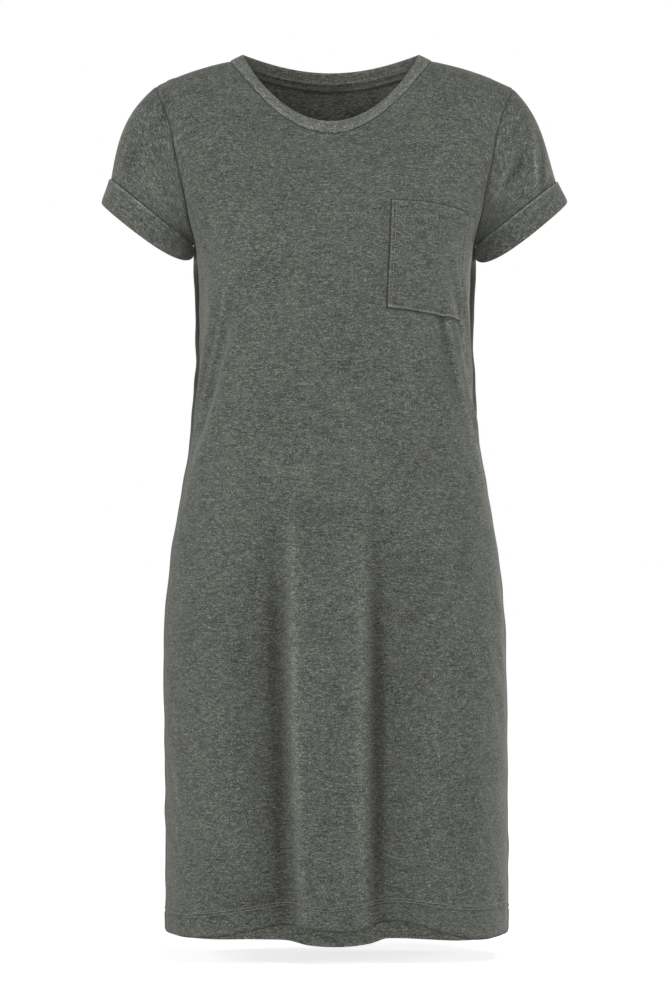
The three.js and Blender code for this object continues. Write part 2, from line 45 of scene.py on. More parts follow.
SMALLEST_LENGTH = 1e-9

# Thickness of the cloth, and the pocket and the tape that lie on it
CLOTH = 1.1
HEM_CLOTH = 2.4
POCKET_CLOTH = 1.5
POCKET_GAP = 0.35
TAPE_CLOTH = 0.8
TAPE_GAP = 0.3
TAPE_TOP = 1.2
TAPE_HEIGHT = 8.4
TAPE_END_COLUMNS = 3

# Mesh density: columns across a panel, and rows up it. Rows of sleeves and pocket crowd towards their ends.
SHOULDER_COLUMNS = 40
NECK_COLUMNS = 116
PANEL_COLUMNS = 2 * SHOULDER_COLUMNS + NECK_COLUMNS
SKIRT_ROWS = 100
WAIST_ROWS = 56
ARMHOLE_ROWS = 60
SLEEVE_ROWS = 44
POCKET_COLUMNS = 60
POCKET_ROWS = 90
TAPE_ROWS = 22
EDGE_CROWDING = 0.75

# Rows of a hem, as parts of the height of its stitches
HEM_PARTS = (
    0, 0.02, 0.06, 0.12, 0.22, 0.35, 0.5, 0.65, 0.78, 0.88, 0.93, 0.965, 1, 1.035, 1.07, 1.13, 1.2, 1.3,
)
HEM_ROWS = len(HEM_PARTS)
HEM_STITCH_ROW = HEM_PARTS.index(1)

# Turned-up hem: reaches in the same parts, heights and depths in millimetres
HEM_STEP_PART = 0.06
HEM_EDGE_PART = 0.12
HEM_STITCH_PART = 0.05
HEM_LINE_PART = 0.945
HEM_PUFF = 0.5
HEM_EDGE_DEPTH = 0.9
HEM_EDGE_THIN = 1.5
HEM_STITCH_DEPTH = 0.55

# Landmarks of the cut
MIDDLE_X = -1.0
SIDE_SEAM_Y = 5.0
SHOULDER_SEAM_Y = 4.0
UNDERARM_Z = -196.0
WAIST_DENSE_Z = -470.0
SHOULDER_TIP = (187.2, -31.5)
SHOULDER_TILT = 1.25
SHOULDER_POWER = 2.6
SHOULDER_ROUND = 110.0
SEAM_FADE = 0.16
CLOTH_HALF_ARC = 200.0

# Level sections are ovals of this power, cut off at the armhole. The side seam lies in a narrow groove.
OVAL_POWER = 2.4
GROOVE_ANGLE = 0.13

# Seams are pulled in by their stitches, by this depth over this distance
SEAM_DEPTH = 0.85
SEAM_REACH = 1.7

# Painted shade and painted highlight: the cloth's colour is painted darker in the groove of a seam and in
# folds, creases and hollows where shade falls, and paler on ridges and rolled edges where light catches. Shares
# of its brightness, and reaches. A share below 0 paints it paler, as on the inner faces: painted light, so that
# they show in the little light that they get.
# Painted shade in a crease's trough and painted highlight on its ridge, per millimetre of its height, with
# their limits
CREASE_SHADE = 0.24
CREASE_SHADE_MOST = 0.3
CREASE_GLOW_MOST = 0.45
# Painted shade in the bottoms of the hanging folds, by their depth, fading in below the waist
FOLD_SHADE = 0.24
FOLD_SHADE_DEPTH = 13.0
FOLD_SHADE_TOP = -430.0
FOLD_SHADE_FADE = 260.0
# Painted shade in the groove of a seam
SEAM_SHADE = 0.6
SEAM_SHADE_REACH = 0.75
# Painted shade on the sleeve beside the cuff's top edge
CUFF_SHADE = 0.38
CUFF_SHADE_REACH = 1.3
# Painted light on inner faces, paler, and painted shade on the neckband's inner face, a little darker
INSIDE_SHADE = -0.6
# Painted light: the back's inner face is painted far paler at its turned-up hem, so that it shows lit under the
# front hem
INSIDE_HEM_SHADE = -3.4
INSIDE_BAND_SHADE = 0.12
INSIDE_HEM_TOP = -895.0
INSIDE_HEM_FADE = 14.0
# Painted shadow on the back's side below each arm, where the sleeve shades it
SIDE_SHADE = 0.93
SIDE_SHADE_REACH = 48.0
SIDE_SHADE_TOP = -190.0
SIDE_SHADE_END = -430.0
SIDE_SHADE_FADE = 110.0
# Painted shade: a dark line under the hem's stitches and one along its edge
HEM_LINE_SHADE = 0.3
HEM_LINE_REACH = 0.035
HEM_EDGE_SHADE = 0.62
HEM_EDGE_REACH = 0.055
# Painted shadow line and painted highlight along the pocket's edges, and painted shade along its stitches
POCKET_SHADE = 0.85
POCKET_GLOW = 0.42
POCKET_LINE_SHADE = 0.24
POCKET_DARK_PLACE = 0.7
POCKET_GLOW_PLACE = 2.5
# Painted shade along the tape's stitched edges and along its stitch line
TAPE_EDGE_SHADE = 0.85
TAPE_EDGE_REACH = 0.85
TAPE_SEAM = 2.1
TAPE_STITCH_SHARE = 0.45

# How strongly the painted shadow and painted highlight show at the pocket's left, low, right and top edge
POCKET_EDGE_SHARES = (1, 1, 0.55, 0.85)

# Neck: the seam that joins the neckband to the panels, and the band's free folded edge
NECK_MIDDLE_X = -5.0
NECK_HALF = 107.0
NECK_SEAM_Z = -4.2
BAND_MIDDLE_X = -4.9
BAND_HALF = 92.2
BAND_EDGE_Z = 3.0
BAND_DEPTH_POWER = 1.15

# Free edge of the neckband on the front and on the back: its drop, the drop's power, and y at its middle
BAND_EDGES = {-1: (73.5, 1.75, -57), 1: (16.5, 2.3, 45)}

# The neckband lies flatter near its tips on the shoulders. The tape puffs up between its stitched edges.
TIP_FLATNESS = 0.75
TIP_BOTTOM = -24.0
TIP_FADE = 16.0
TAPE_PUFF = 0.7

# Sections by height: z, half width at the seam, y at the middle, and how far the cloth swells beside its seam
FRONT_SECTIONS = np.array([
    (-960, 177.3, -118, 3.5), (-760, 177.3, -117, 3.5), (-640, 178, -116, 3), (-581, 175.3, -115, 3),
    (-518, 170, -113, 3), (-455, 158, -111, 3), (-392, 147, -110, 3), (-318, 140.5, -111, 4),
    (-235, 140, -118, 5), (-210, 142, -116.5, 4), (-196, 145, -113, 3), (-170, 152.5, -105, 1),
    (-147, 156.5, -96, 0), (-110, 165, -79, 0), (-84, 169.5, -67.5, 0), (-60, 176.5, -58, 0),
    (-31.5, 187.2, -53, 0), (10, 187.2, -50, 0),
])
BACK_SECTIONS = np.array([
    (-960, 177.3, 112, 8), (-760, 177.3, 110, 8), (-640, 178, 108, 7), (-581, 175.3, 106, 7.5),
    (-518, 170, 99, 6), (-455, 158, 90, 7), (-392, 147, 83, 7), (-318, 140.5, 81, 8.5),
    (-235, 140, 88, 13), (-210, 142, 91, 11), (-196, 145, 92, 7), (-170, 156, 93.5, 1),
    (-147, 161.5, 94, 0), (-110, 169, 90, 0), (-84, 174, 84, 0), (-60, 179, 77, 0),
    (-31.5, 187.2, 68, 0), (10, 187.2, 58, 0),
])

# The skirt hangs a little towards +X below its hips
SKIRT_SWAY = 2.4
SKIRT_SWAY_TOP = -560.0
SKIRT_SWAY_FADE = 300.0

# Hem by turn, which runs from -1 at the side seam at -X to 1 at the one at +X: height of the edge, and of the
# stitches above it
FRONT_HEM = np.array([
    (-1, -914, 19), (-0.65, -918.8, 21), (-0.45, -916.7, 23), (-0.3, -908.5, 21.5), (-0.2, -904, 20.5),
    (-0.05, -909.5, 21), (0.07, -910, 24), (0.18, -901, 20.5), (0.27, -901, 21), (0.4, -912.5, 27),
    (0.55, -920.5, 32), (0.8, -918.7, 31), (1, -915, 26),
])
BACK_HEM = np.array([
    (-1, -914, 19), (-0.75, -926, 22), (-0.5, -933.5, 22), (-0.2, -935.2, 21), (-0.1, -942, 23),
    (0.02, -944, 24), (0.12, -940, 23), (0.2, -933.3, 21), (0.48, -935.2, 22), (0.75, -927, 24),
    (1, -915, 26),
])

# Folds that hang down a panel: turn at three heights, half width, height out of the cloth, fade at its ends
Fold = namedtuple("Fold", "place z width height fade")
FRONT_FOLDS = [Fold(*row) for row in (
    ((-0.42, -0.42, -0.42), (-100, -185, -270), 48, 5, 70),
    ((0.36, 0.36, 0.36), (-90, -170, -260), 48, 5, 70),
    ((-0.57, -0.74, -0.9), (-225, -310, -410), 12, 3, 50),
    ((-0.5, -0.65, -0.85), (-240, -335, -430), 12, -3.5, 55),
    ((-0.43, -0.56, -0.8), (-245, -335, -470), 14, 4, 60),
    ((0.7, 0.8, 0.92), (-215, -285, -370), 12, 3, 45),
    ((0.63, 0.74, 0.88), (-225, -305, -400), 12, -3, 45),
    ((0.55, 0.73, 0.95), (-225, -316, -440), 13, 4.5, 55),
    ((-0.145, -0.141, -0.081), (-430, -690, -990), 9, 4, 110),
    ((-0.262, -0.262, -0.183), (-420, -713, -1060), 24, -12, 170),
    ((-0.205, -0.2, -0.12), (-440, -713, -1060), 11, -5, 170),
    ((0.26, 0.25, 0.245), (-400, -640, -1060), 25, -10, 220),
    ((0.165, 0.16, 0.155), (-420, -640, -1060), 11, -6, 200),
    ((-0.03, -0.03, -0.03), (-520, -760, -1060), 27, 5, 170),
    ((-0.52, -0.52, -0.52), (-560, -800, -1060), 38, 8, 190),
    ((0.5, 0.5, 0.5), (-540, -760, -1060), 38, 8, 190),
)]
BACK_FOLDS = [Fold(*row) for row in (
    ((-0.38, -0.47, -0.62), (-205, -290, -390), 16, 3.5, 60),
    ((-0.28, -0.36, -0.5), (-225, -310, -400), 18, -3, 60),
    ((0.34, 0.45, 0.63), (-195, -285, -395), 15, 3.5, 60),
    ((0.25, 0.35, 0.5), (-215, -300, -405), 18, -3, 60),
    ((-0.72, -0.82, -0.92), (-235, -320, -430), 12, 3, 50),
    ((0.74, 0.82, 0.91), (-230, -300, -400), 12, 3, 50),
    ((0, 0, 0.01), (-600, -780, -1080), 30, 8, 170),
    ((-0.2, -0.22, -0.24), (-520, -740, -1080), 25, -9, 180),
    ((0.2, 0.22, 0.25), (-560, -760, -1080), 23, -8, 180),
    ((0.46, 0.5, 0.52), (-620, -800, -1080), 34, 5, 170),
    ((-0.5, -0.52, -0.56), (-590, -780, -1080), 36, 5, 170),
)]

# Faint uneven waves of limp cloth: how many, their height, and their lengths
RIPPLES = 14
RIPPLE_HEIGHT = 0.16
RIPPLE_SHORTEST = 22.0
RIPPLE_LONGEST = 75.0

# Short creases: a curve through three points in the X Z plane, half width, and height out of the cloth. Each
# is followed in straight steps, as far as some half widths to its sides, and its height tapers by a power.
CREASE_PLACES = (0, 0.5, 1)
CREASE_STEPS = 14
CREASE_REACH = 3
CREASE_TAPER = 0.7
Crease = namedtuple("Crease", "x z width height")
FRONT_CREASES = [Crease(*row) for row in (
    ((-110, -124.5, -146), (-228, -302, -388), 2.4, 2.3),
    ((-109, -125, -142), (-236, -306, -376), 6.0, -1.2),
    ((106, 120, 141), (-226, -300, -392), 2.4, 2.3),
    ((137, 148, 160), (-372, -420, -478), 2.4, 1.6),
    ((102, 113, 134), (-240, -302, -381), 6.0, -1.3),
    ((120, 131.5, 142), (-208, -280, -350), 2.3, 2.1),
    ((116, 124, 133), (-222, -266, -318), 4.0, -1.1),
    ((-46, -42, -34), (-440, -690, -930), 5.0, 2.0),
    ((-63, -61, -54), (-470, -700, -930), 8.0, -1.6),
    ((26, 27, 28), (-480, -700, -932), 7.0, 1.5),
    ((42, 42, 42), (-470, -700, -932), 8.0, -1.8),
    ((-131, -134, -139), (-236, -268, -305), 3.5, 0.9),
    ((124, 131, 141), (-262, -268, -271), 2.4, -0.8),
    ((120, 128, 139), (-276, -281, -284), 2.4, -0.7),
    ((43, 48, 54), (-399, -405, -410), 2.2, -0.8),
    ((-163, -161, -158), (-700, -716, -733), 2.4, -1.0),
    ((-167, -166, -161), (-745, -765, -790), 3.0, 1.0),
    ((-170, -163, -158), (-768, -772, -770), 2.4, -1.0),
    ((-168, -165, -167), (-790, -806, -822), 2.6, 1.0),
    ((134, 142, 152), (-892, -889, -893), 2.6, 1.0),
    ((146, 152, 158), (-880, -872, -868), 2.6, -0.9),
    ((-120, -80, -46), (-886, -881, -869), 5.0, -1.0),
    ((-60, -20, 30), (-470, -478, -470), 16, -0.7),
    ((-92, -50, -20), (-420, -436, -440), 14, 0.7),
    ((40, 80, 118), (-420, -432, -424), 15, -0.7),
)]
BACK_CREASES = [Crease(*row) for row in (
    ((-118, -128, -146), (-214, -292, -372), 3.2, 1.4),
    ((-110, -122, -140), (-222, -296, -366), 5.5, -1.0),
    ((112, 126, 147), (-210, -300, -388), 3.2, 1.4),
    ((105, 119, 140), (-220, -302, -384), 5.5, -1.0),
    ((-70, -20, 38), (-392, -404, -394), 16, -0.9),
    ((-44, 6, 60), (-430, -440, -428), 14, 0.8),
    ((-160, -154, -148), (-690, -712, -740), 3.0, -1.0),
    ((158, 160, 164), (-752, -778, -806), 3.0, 1.0),
    ((62, 80, 104), (-884, -878, -884), 4.5, -1.0),
    ((-110, -84, -60), (-898, -891, -896), 4.5, 0.9),
    ((-96, -70, -40), (-60, -92, -112), 12, -0.8),
    ((98, 72, 40), (-58, -90, -114), 12, -0.8),
)]

# Sleeves: how they leave the armhole and reach the cuff, where their creases start and end, and their ends in
# the X Z plane, outer end and underarm end
CUFF_PROUD = 1.2
CUFF_TOP_DEPTH = 47.0
CUFF_END_DEPTH = 49.0
SLEEVE_HANDLE = 0.4
SLEEVE_SIDE_LIFT = 0.35
SLEEVE_ARRIVAL = 0.18
CREASE_START = 0.5
CREASE_END = 0.25
SLEEVE_SIDE_FADE = 0.2
SINE_DIGITS = 6
Sleeve = namedtuple("Sleeve", "name side lift top_outer top_inner end_outer end_inner")
SLEEVES = [
    Sleeve("right", -1, 0.65, (-236.8, -127.1), (-149.2, -199.5), (-246.2, -153.3), (-149.6, -209.5)),
    Sleeve("left", 1, 0.5, (232.6, -130.2), (147, -200.6), (244.1, -152.3), (147.5, -212)),
]

# How far the folded edge of a cuff hangs below the line between its ends, near the underarm and at the outer
# end, on the front and on the back
CUFF_BOW = {-1: (19, 7), 1: (11, 4)}
NO_BOW = {-1: (0, 0), 1: (0, 0)}
SLEEVE_FOLDS = {
    (1, -1): [
        Fold((208, 212, 215), (-78, -108, -146), 7, 3, 25),
        Fold((203, 186, 160), (-90, -122, -146), 9, -3.5, 25),
        Fold((190, 177, 160), (-100, -128, -160), 8, 2.5, 20),
    ],
    (-1, -1): [Fold((-196, -187, -168), (-95, -130, -165), 12, -2, 30)],
    (1, 1): [Fold((205, 190, 168), (-85, -120, -155), 12, -3, 25)],
    (-1, 1): [Fold((-204, -190, -166), (-80, -118, -158), 11, -3, 25)],
}
SLEEVE_CREASES = {
    (1, -1): [
        Crease((207.5, 209.5, 210.5), (-72, -112, -150), 2.4, 2.6),
        Crease((213, 215, 216), (-78, -112, -148), 3.6, -2.6),
        Crease((197, 183, 163), (-96, -126, -144), 4.0, -2.4),
        Crease((185, 174, 160), (-110, -134, -152), 3.6, 2.0),
        Crease((190, 196, 205), (-150, -147, -150), 4.0, -0.9),
        Crease((222, 224, 223), (-96, -112, -128), 4.0, 0.8),
    ],
    (-1, -1): [
        Crease((-182, -172, -160), (-142, -147, -148), 2.6, -1.2),
        Crease((-180, -170, -160), (-148, -153, -155), 2.4, 1.0),
        Crease((-176, -168, -159), (-157, -162, -163), 2.6, -1.1),
        Crease((-205, -212, -222), (-92, -108, -122), 6.0, -0.9),
        Crease((-200, -193, -186), (-118, -134, -150), 5.0, 0.9),
    ],
    (1, 1): [
        Crease((184, 173, 160), (-140, -148, -152), 3.0, -1.2),
        Crease((206, 200, 190), (-100, -122, -142), 4.0, 1.0),
    ],
    (-1, 1): [
        Crease((-186, -174, -160), (-136, -146, -152), 3.0, -1.2),
        Crease((-210, -203, -192), (-98, -120, -140), 4.0, 1.0),
    ],
}

# Profiles from a seam to a folded edge: place along it, how far the outer face stands out, the thickness there,
# and its painted shade, which below 0 is a painted highlight
CUFF_PROFILE = np.array([
    (0, 0.1, 1.2, 0.55), (0.004, 0.8, 2.2, 0.35), (0.015, 1.35, 3.0, -0.1), (0.03, 1.75, 3.4, -0.7),
    (0.055, 1.85, 3.5, -0.7), (0.09, 1.85, 3.5, -0.2), (0.14, 1.8, 3.5, 0), (0.2, 1.75, 3.4, 0),
    (0.32, 1.7, 3.4, 0), (0.45, 1.7, 3.4, 0), (0.58, 1.75, 3.4, 0), (0.7, 1.8, 3.4, 0), (0.8, 1.8, 3.4, 0),
    (0.88, 1.65, 3.2, 0), (0.94, 1.35, 2.8, -0.05), (0.975, 0.9, 2.1, 0), (0.993, 0.35, 1.3, 0.2),
    (1, -0.15, 0.5, 0.4),
])
NECKBAND_PROFILE = np.array([
    (0, -0.1, 1.2, 0.75), (0.04, 0.2, 1.6, 0.5), (0.08, 0.5, 1.9, 0.1), (0.13, 0.75, 2.2, -0.1),
    (0.2, 0.9, 2.4, -0.12), (0.3, 1.0, 2.5, -0.04), (0.42, 1.0, 2.5, 0), (0.56, 1.0, 2.5, 0),
    (0.68, 0.9, 2.4, 0), (0.78, 0.75, 2.2, 0), (0.87, 0.5, 1.9, -0.05), (0.94, 0.15, 1.4, -0.1),
    (0.98, -0.25, 1, 0), (1, -0.6, 0.4, 0.1),
])

# Pocket corners on the front: place among 36 columns across the panel, and height. Its top edge bows up a
# little. Then its hem, its seams, and the depths and reaches of its edges and stitches.
POCKET_UNITS = 36
POCKET_TOP = ((22.35, -154.4), (31.5, -166.2))
POCKET_LOW = ((22.35, -267.3), (30.9, -279.6))
POCKET_TOP_RISE = 2.6
POCKET_HEM = 18.0
POCKET_SEAM = 5.5
POCKET_HEM_CLOTH = 0.5
POCKET_EDGE_REACH = 0.9
POCKET_EDGE_LIP = 0.25
POCKET_STITCH_DEPTH = 0.45
POCKET_STITCH_REACH = 1.1
POCKET_SHIFT_U = 31.0

# Stitches: thread thickness, drawn coarser than the real 0.25 mm so that it shows, and spacing
THREAD = 0.55
STITCH_LENGTH = 2.8
STITCH_STEP = 3.3
STITCH_SIDES = 6
TWIN_NEEDLE_GAP = 3.2
STITCH_INSET = 2

# Rings of one stitch: part of its length, part of its thickness, and height over the cloth in thicknesses
STITCH_RINGS = ((0, 0.25, -0.5), (0.18, 0.85, 0), (0.5, 1, 0.3), (0.82, 0.85, 0), (1, 0.25, -0.5))

# Walls that meet at a seam share its points, to this many digits. A ring of cloth counts more than a panel.
SEAM_DIGITS = 2
RING_WEIGHT = 2

# Panels of the body: way that they face, their tables, the armhole's depth and rise, the neck's drop and its
# power, and the seed of their ripples
Panel = namedtuple(
    "Panel", "face sections hem folds creases armhole_depth armhole_rise neck_drop neck_power seed",
)
FRONT = Panel(-1, FRONT_SECTIONS, FRONT_HEM, FRONT_FOLDS, FRONT_CREASES, 55, 70, 79.8, 2.2, 11)
BACK = Panel(1, BACK_SECTIONS, BACK_HEM, BACK_FOLDS, BACK_CREASES, 47, 80, 21.3, 2.4, 12)

# Heather jersey: cotton and polyester, single knit. Pale fibres that took no dye lie along the courses. Each
# pattern has a width and height in millimetres, a start, detail and distortion, then the range of the noise
# that counts and what it adds to the brightness at the range's ends. Flecks are drawn at the size that they
# show, and the stitches of the knit, 0.7 mm in the real cloth and too fine for the picture, as 1.3 mm.
Pattern = namedtuple("Pattern", "width height start detail distortion low high at_low at_high")
FLECKS = Pattern(3.0, 1.2, 3.7, 0.6, 1.6, 0.54, 0.66, 0, 1.5)
DARK_FLECKS = Pattern(2.8, 1.05, 41.3, 0.6, 1.6, 0.47, 0.33, 0, -0.65)
STREAKS = Pattern(26.0, 1.8, 17.9, 1.0, 0.3, 0.35, 0.65, -0.09, 0.09)
MOTTLE = Pattern(17.0, 11.0, 71.1, 3.0, 0.4, 0.3, 0.7, -0.11, 0.11)
CLOUDS = Pattern(70.0, 90.0, 9.3, 2.0, 0.2, 0.3, 0.7, -0.05, 0.05)
KNIT = Pattern(1.3, 1.0, 23.5, 1.0, 0.2, 0.3, 0.7, -0.16, 0.16)
SMOOTHEST = 0.88
ROUGHEST = 0.97
SHEEN_COLOUR = "#d9dbd4"

# Fibre twists in a metre of sewing thread
THREAD_TWISTS = 1400

# Floor, light and camera, in metres and watts. The floor glows up to white away from the dress, as a lit
# backdrop does. Only the camera sees all of that glow and of the world's: the dress gets a small share, so
# that its folds keep their shade.
FLOOR_Z = -0.9465
FLOOR_SIZE = 30.0
FLOOR_NEAR = 0.9
FLOOR_FAR = 2.6
FLOOR_GLOW_NEAR = 0.75
FLOOR_GLOW_FAR = 1.0
FLOOR_LIGHT = 0.15
CAMERA_PLACE = (0.0005, -6.0, -0.46935)
CAMERA_LENS = 204.0
SENSOR = 36.0
AIM = (0, 0, -0.45)
FLOOR_COLOUR = "#f4f4f4"
GLOW_COLOUR = "#ffffff"
Lamp = namedtuple("Lamp", "name place size power")
LAMPS = [
    Lamp("left_box", (-3.5, -2.2, 0.35), 1.8, 103),
    Lamp("right_box", (3.8, -0.4, -0.1), 1.6, 70),
    Lamp("front_low", (0.2, -5.2, -0.65), 1.8, 74),
    Lamp("front_high", (0.8, -2.4, 2.3), 1.6, 74),
    Lamp("rim_left", (-3.4, 0.6, -0.2), 1.2, 6),
]
WORLD_LIGHT = 0.06
WORLD_SHOWN = 1.0


def mix(a, b, part):
    return a + (b - a) * part


def smooth(value):
    s = np.clip(value, 0, 1)
    return s * s * (3 - 2 * s)


def near(distance, reach):
    """1 at a line, and nothing well past its reach."""
    return np.exp(-((distance / reach) ** 2))


def quarter_round(value):
    """Height of a quarter circle, 0 at 0 and 1 at 1."""
    s = np.clip(value, 0, 1)
    return np.sqrt(s * (2 - s))


def oval_depth(part):
    """Depth of an oval section at a part of its half width. The same formula turns depth into width."""
    return np.maximum(1 - np.abs(part) ** OVAL_POWER, 0) ** (1 / OVAL_POWER)


def read(table, column, place):
    """One column of a table, smooth between its rows, at places along its first column."""
    along, values = table[:, 0], table[:, column]
    last = len(along) - 1
    ends = np.arange(last + 1)
    after, before = np.minimum(ends + 1, last), np.maximum(ends - 1, 0)
    slopes = (values[after] - values[before]) / (along[after] - along[before])
    place = np.asarray(place, float)
    i = np.searchsorted(along[1:last], place)
    span = along[i + 1] - along[i]
    s = np.clip((place - along[i]) / span, 0, 1)
    s2, s3 = s * s, s * s * s
    rise = values[i] * (2 * s3 - 3 * s2 + 1) + values[i + 1] * (3 * s2 - 2 * s3)
    return rise + span * (slopes[i] * (s3 - 2 * s2 + s) + slopes[i + 1] * (s3 - s2))


def through_three(values, heights, z):
    """Value at a height of the curve through three places."""
    total = 0
    for i in range(3):
        a, b = heights[(i + 1) % 3], heights[(i + 2) % 3]
        total = total + values[i] * (z - a) * (z - b) / ((heights[i] - a) * (heights[i] - b))
    return total


def fold_height(fold, distance, z):
    """Height that one fold adds at a distance from its line."""
    fade = smooth((fold.z[0] - z) / fold.fade) * smooth((z - fold.z[2]) / fold.fade)
    return fold.height * fade * near(distance, fold.width)


def crease_height(creases, x, z):
    """Height that short creases add, each highest at its middle and gone at its ends."""
    relief = np.zeros(np.shape(x))
    s = np.linspace(0, 1, CREASE_STEPS)
    for crease in creases:
        line_x = through_three(crease.x, CREASE_PLACES, s)
        line_z = through_three(crease.z, CREASE_PLACES, s)
        reach = CREASE_REACH * crease.width
        around = (x > line_x.min() - reach) & (x < line_x.max() + reach)
        around &= (z > line_z.min() - reach) & (z < line_z.max() + reach)
        if not around.any():
            continue
        px, pz = x[around], z[around]
        best = np.full(px.shape, np.inf)
        height = np.zeros(px.shape)
        for k in range(CREASE_STEPS - 1):
            ax, az = line_x[k], line_z[k]
            bx, bz = line_x[k + 1] - ax, line_z[k + 1] - az
            part = np.clip(((px - ax) * bx + (pz - az) * bz) / (bx * bx + bz * bz), 0, 1)
            distance = np.hypot(px - ax - part * bx, pz - az - part * bz)
            closer = distance < best
            best = np.where(closer, distance, best)
            along = mix(s[k], s[k + 1], part)
            height = np.where(closer, np.sin(np.pi * along) ** CREASE_TAPER, height)
        relief[around] += crease.height * height * near(best, crease.width)
    return relief


def ripple(seed, u, v):
    """Faint uneven waves of limp cloth, the same at each run."""
    draw = np.random.default_rng(seed)
    relief = np.zeros(np.shape(u))
    for _ in range(RIPPLES):
        length = draw.uniform(RIPPLE_SHORTEST, RIPPLE_LONGEST)
        angle = draw.uniform(0, np.pi)
        start = draw.uniform(0, 2 * np.pi)
        wave = 2 * np.pi * (u * np.cos(angle) + v * np.sin(angle)) / length
        relief += RIPPLE_HEIGHT * np.sin(wave + start)
    return relief


def shoulder_height(x):
    """Shoulder seam height at a distance from the middle. It carries on over the neck."""
    start = NECK_HALF ** SHOULDER_POWER
    part = (np.abs(x - MIDDLE_X) ** SHOULDER_POWER - start) / (SHOULDER_TIP[0] ** SHOULDER_POWER - start)
    return mix(NECK_SEAM_Z, SHOULDER_TIP[1], part) - SHOULDER_TILT * (x - MIDDLE_X) / SHOULDER_TIP[0]


def half_width(panel, z):
    return read(panel.sections, 1, np.minimum(z, SHOULDER_TIP[1]))


def folds_relief(panel, turn, z):
    """Height that the hanging folds of a panel add."""
    relief = 0
    for fold in panel.folds:
        line = through_three(fold.place, fold.z, z)
        relief = relief + fold_height(fold, (turn - line) * CLOTH_HALF_ARC, z)
    return relief


def panel_point(panel, t, z):
    """Points of a panel. t runs from -1 to 1 across it, z is the height."""
    half = half_width(panel, z)
    middle_y = read(panel.sections, 2, z)
    full = read(panel.sections, 3, z)
    edge_depth = panel.armhole_depth * quarter_round((z - UNDERARM_Z) / panel.armhole_rise)
    depth = panel.face * (middle_y - SIDE_SEAM_Y)
    reach = oval_depth(edge_depth / depth)
    level = oval_depth(np.abs(t) * reach)
    angle = np.arccos(np.clip(np.abs(t), 0, 1))
    swell = full * (np.abs(t) - near(angle, GROOVE_ANGLE))
    turn = 2 * np.arcsin(np.clip(t, -1, 1)) / np.pi
    x = MIDDLE_X + t * half + np.sign(t) * swell
    relief = folds_relief(panel, turn, z) + ripple(panel.seed, turn * CLOTH_HALF_ARC, z)
    relief *= smooth((1 - np.abs(turn)) / SEAM_FADE)
    x = x + relief * t
    crease = crease_height(panel.creases, x, z)
    x = x + crease * t
    relief += crease
    y = mix(SIDE_SEAM_Y, middle_y, level)
    rounding = quarter_round((shoulder_height(x) - z) / SHOULDER_ROUND)
    out = np.sqrt(np.maximum(1 - t * t, 0))
    y = mix(SHOULDER_SEAM_Y, y, rounding) + panel.face * relief * out * smooth(rounding)
    sway = SKIRT_SWAY * smooth((SKIRT_SWAY_TOP - z) / SKIRT_SWAY_FADE)
    return np.stack([x + sway, y, z + 0 * x], -1)


def top_edge(panel):
    """Top edge of a panel, as t and z for each column: shoulder seam, neck, shoulder seam."""
    tops = []
    for column in range(PANEL_COLUMNS + 1):
        from_end = min(column, PANEL_COLUMNS - column)
        side = -1 if column < PANEL_COLUMNS / 2 else 1
        if from_end > SHOULDER_COLUMNS:
            angle = math.pi * (column - SHOULDER_COLUMNS) / NECK_COLUMNS
            x = NECK_MIDDLE_X - NECK_HALF * math.cos(angle)
            ends = [shoulder_height(NECK_MIDDLE_X + way * NECK_HALF) for way in (-1, 1)]
            z = mix(*ends, angle / math.pi) - panel.neck_drop * math.sin(angle) ** panel.neck_power
            tops.append(((x - MIDDLE_X) / float(half_width(panel, z)), z))
            continue
        tip_x = MIDDLE_X + side * SHOULDER_TIP[0]
        neck_x = NECK_MIDDLE_X + side * NECK_HALF
        x = mix(tip_x, neck_x, from_end / SHOULDER_COLUMNS)
        tops.append(((x - MIDDLE_X) / SHOULDER_TIP[0], float(shoulder_height(x))))
    return np.array(tops).T


def panel_grid(panel):
    """Points of a panel: rows from hem to top edge, columns in the order that faces its normals out."""
    columns = np.arange(PANEL_COLUMNS + 1)
    across = -np.cos(np.pi * columns / PANEL_COLUMNS)
    turn = 2 * columns / PANEL_COLUMNS - 1
    hem_z = read(panel.hem, 1, turn)
    hem_rise = read(panel.hem, 2, turn)
    top_t, top_z = top_edge(panel)
    ts, zs = [], []
    for part in HEM_PARTS:
        ts.append(across)
        zs.append(hem_z + part * hem_rise)
    start = zs[-1]
    for i in range(1, SKIRT_ROWS):
        ts.append(across)
        zs.append(mix(start, WAIST_DENSE_Z, i / SKIRT_ROWS))
    for i in range(WAIST_ROWS):
        ts.append(across)
        zs.append(mix(WAIST_DENSE_Z, UNDERARM_Z, i / WAIST_ROWS) + 0 * across)
    for i in range(ARMHOLE_ROWS + 1):
        up = (1 - math.cos(math.pi * i / ARMHOLE_ROWS)) / 2
        ts.append(mix(across, top_t, up))
        zs.append(mix(UNDERARM_Z, top_z, up))
    grid = panel_point(panel, np.array(ts), np.array(zs))
    return grid if panel.face < 0 else grid[:, ::-1]


def sleeve_ring(sleeve, outer, inner, depth, count, bow):
    """Ring of a sleeve's end, one point for each point of the armhole, starting at the underarm."""
    angle = 2 * np.pi * np.arange(count) / count
    part = (1 - np.cos(angle)) / 2
    forward = sleeve.side * np.sin(angle)
    hang = np.where(forward < 0, mix(*bow[-1], part), mix(*bow[1], part)) * np.abs(forward)
    return np.stack([
        mix(inner[0], outer[0], part),
        SIDE_SEAM_Y + depth * forward,
        mix(inner[1], outer[1], part) - hang,
    ], -1)


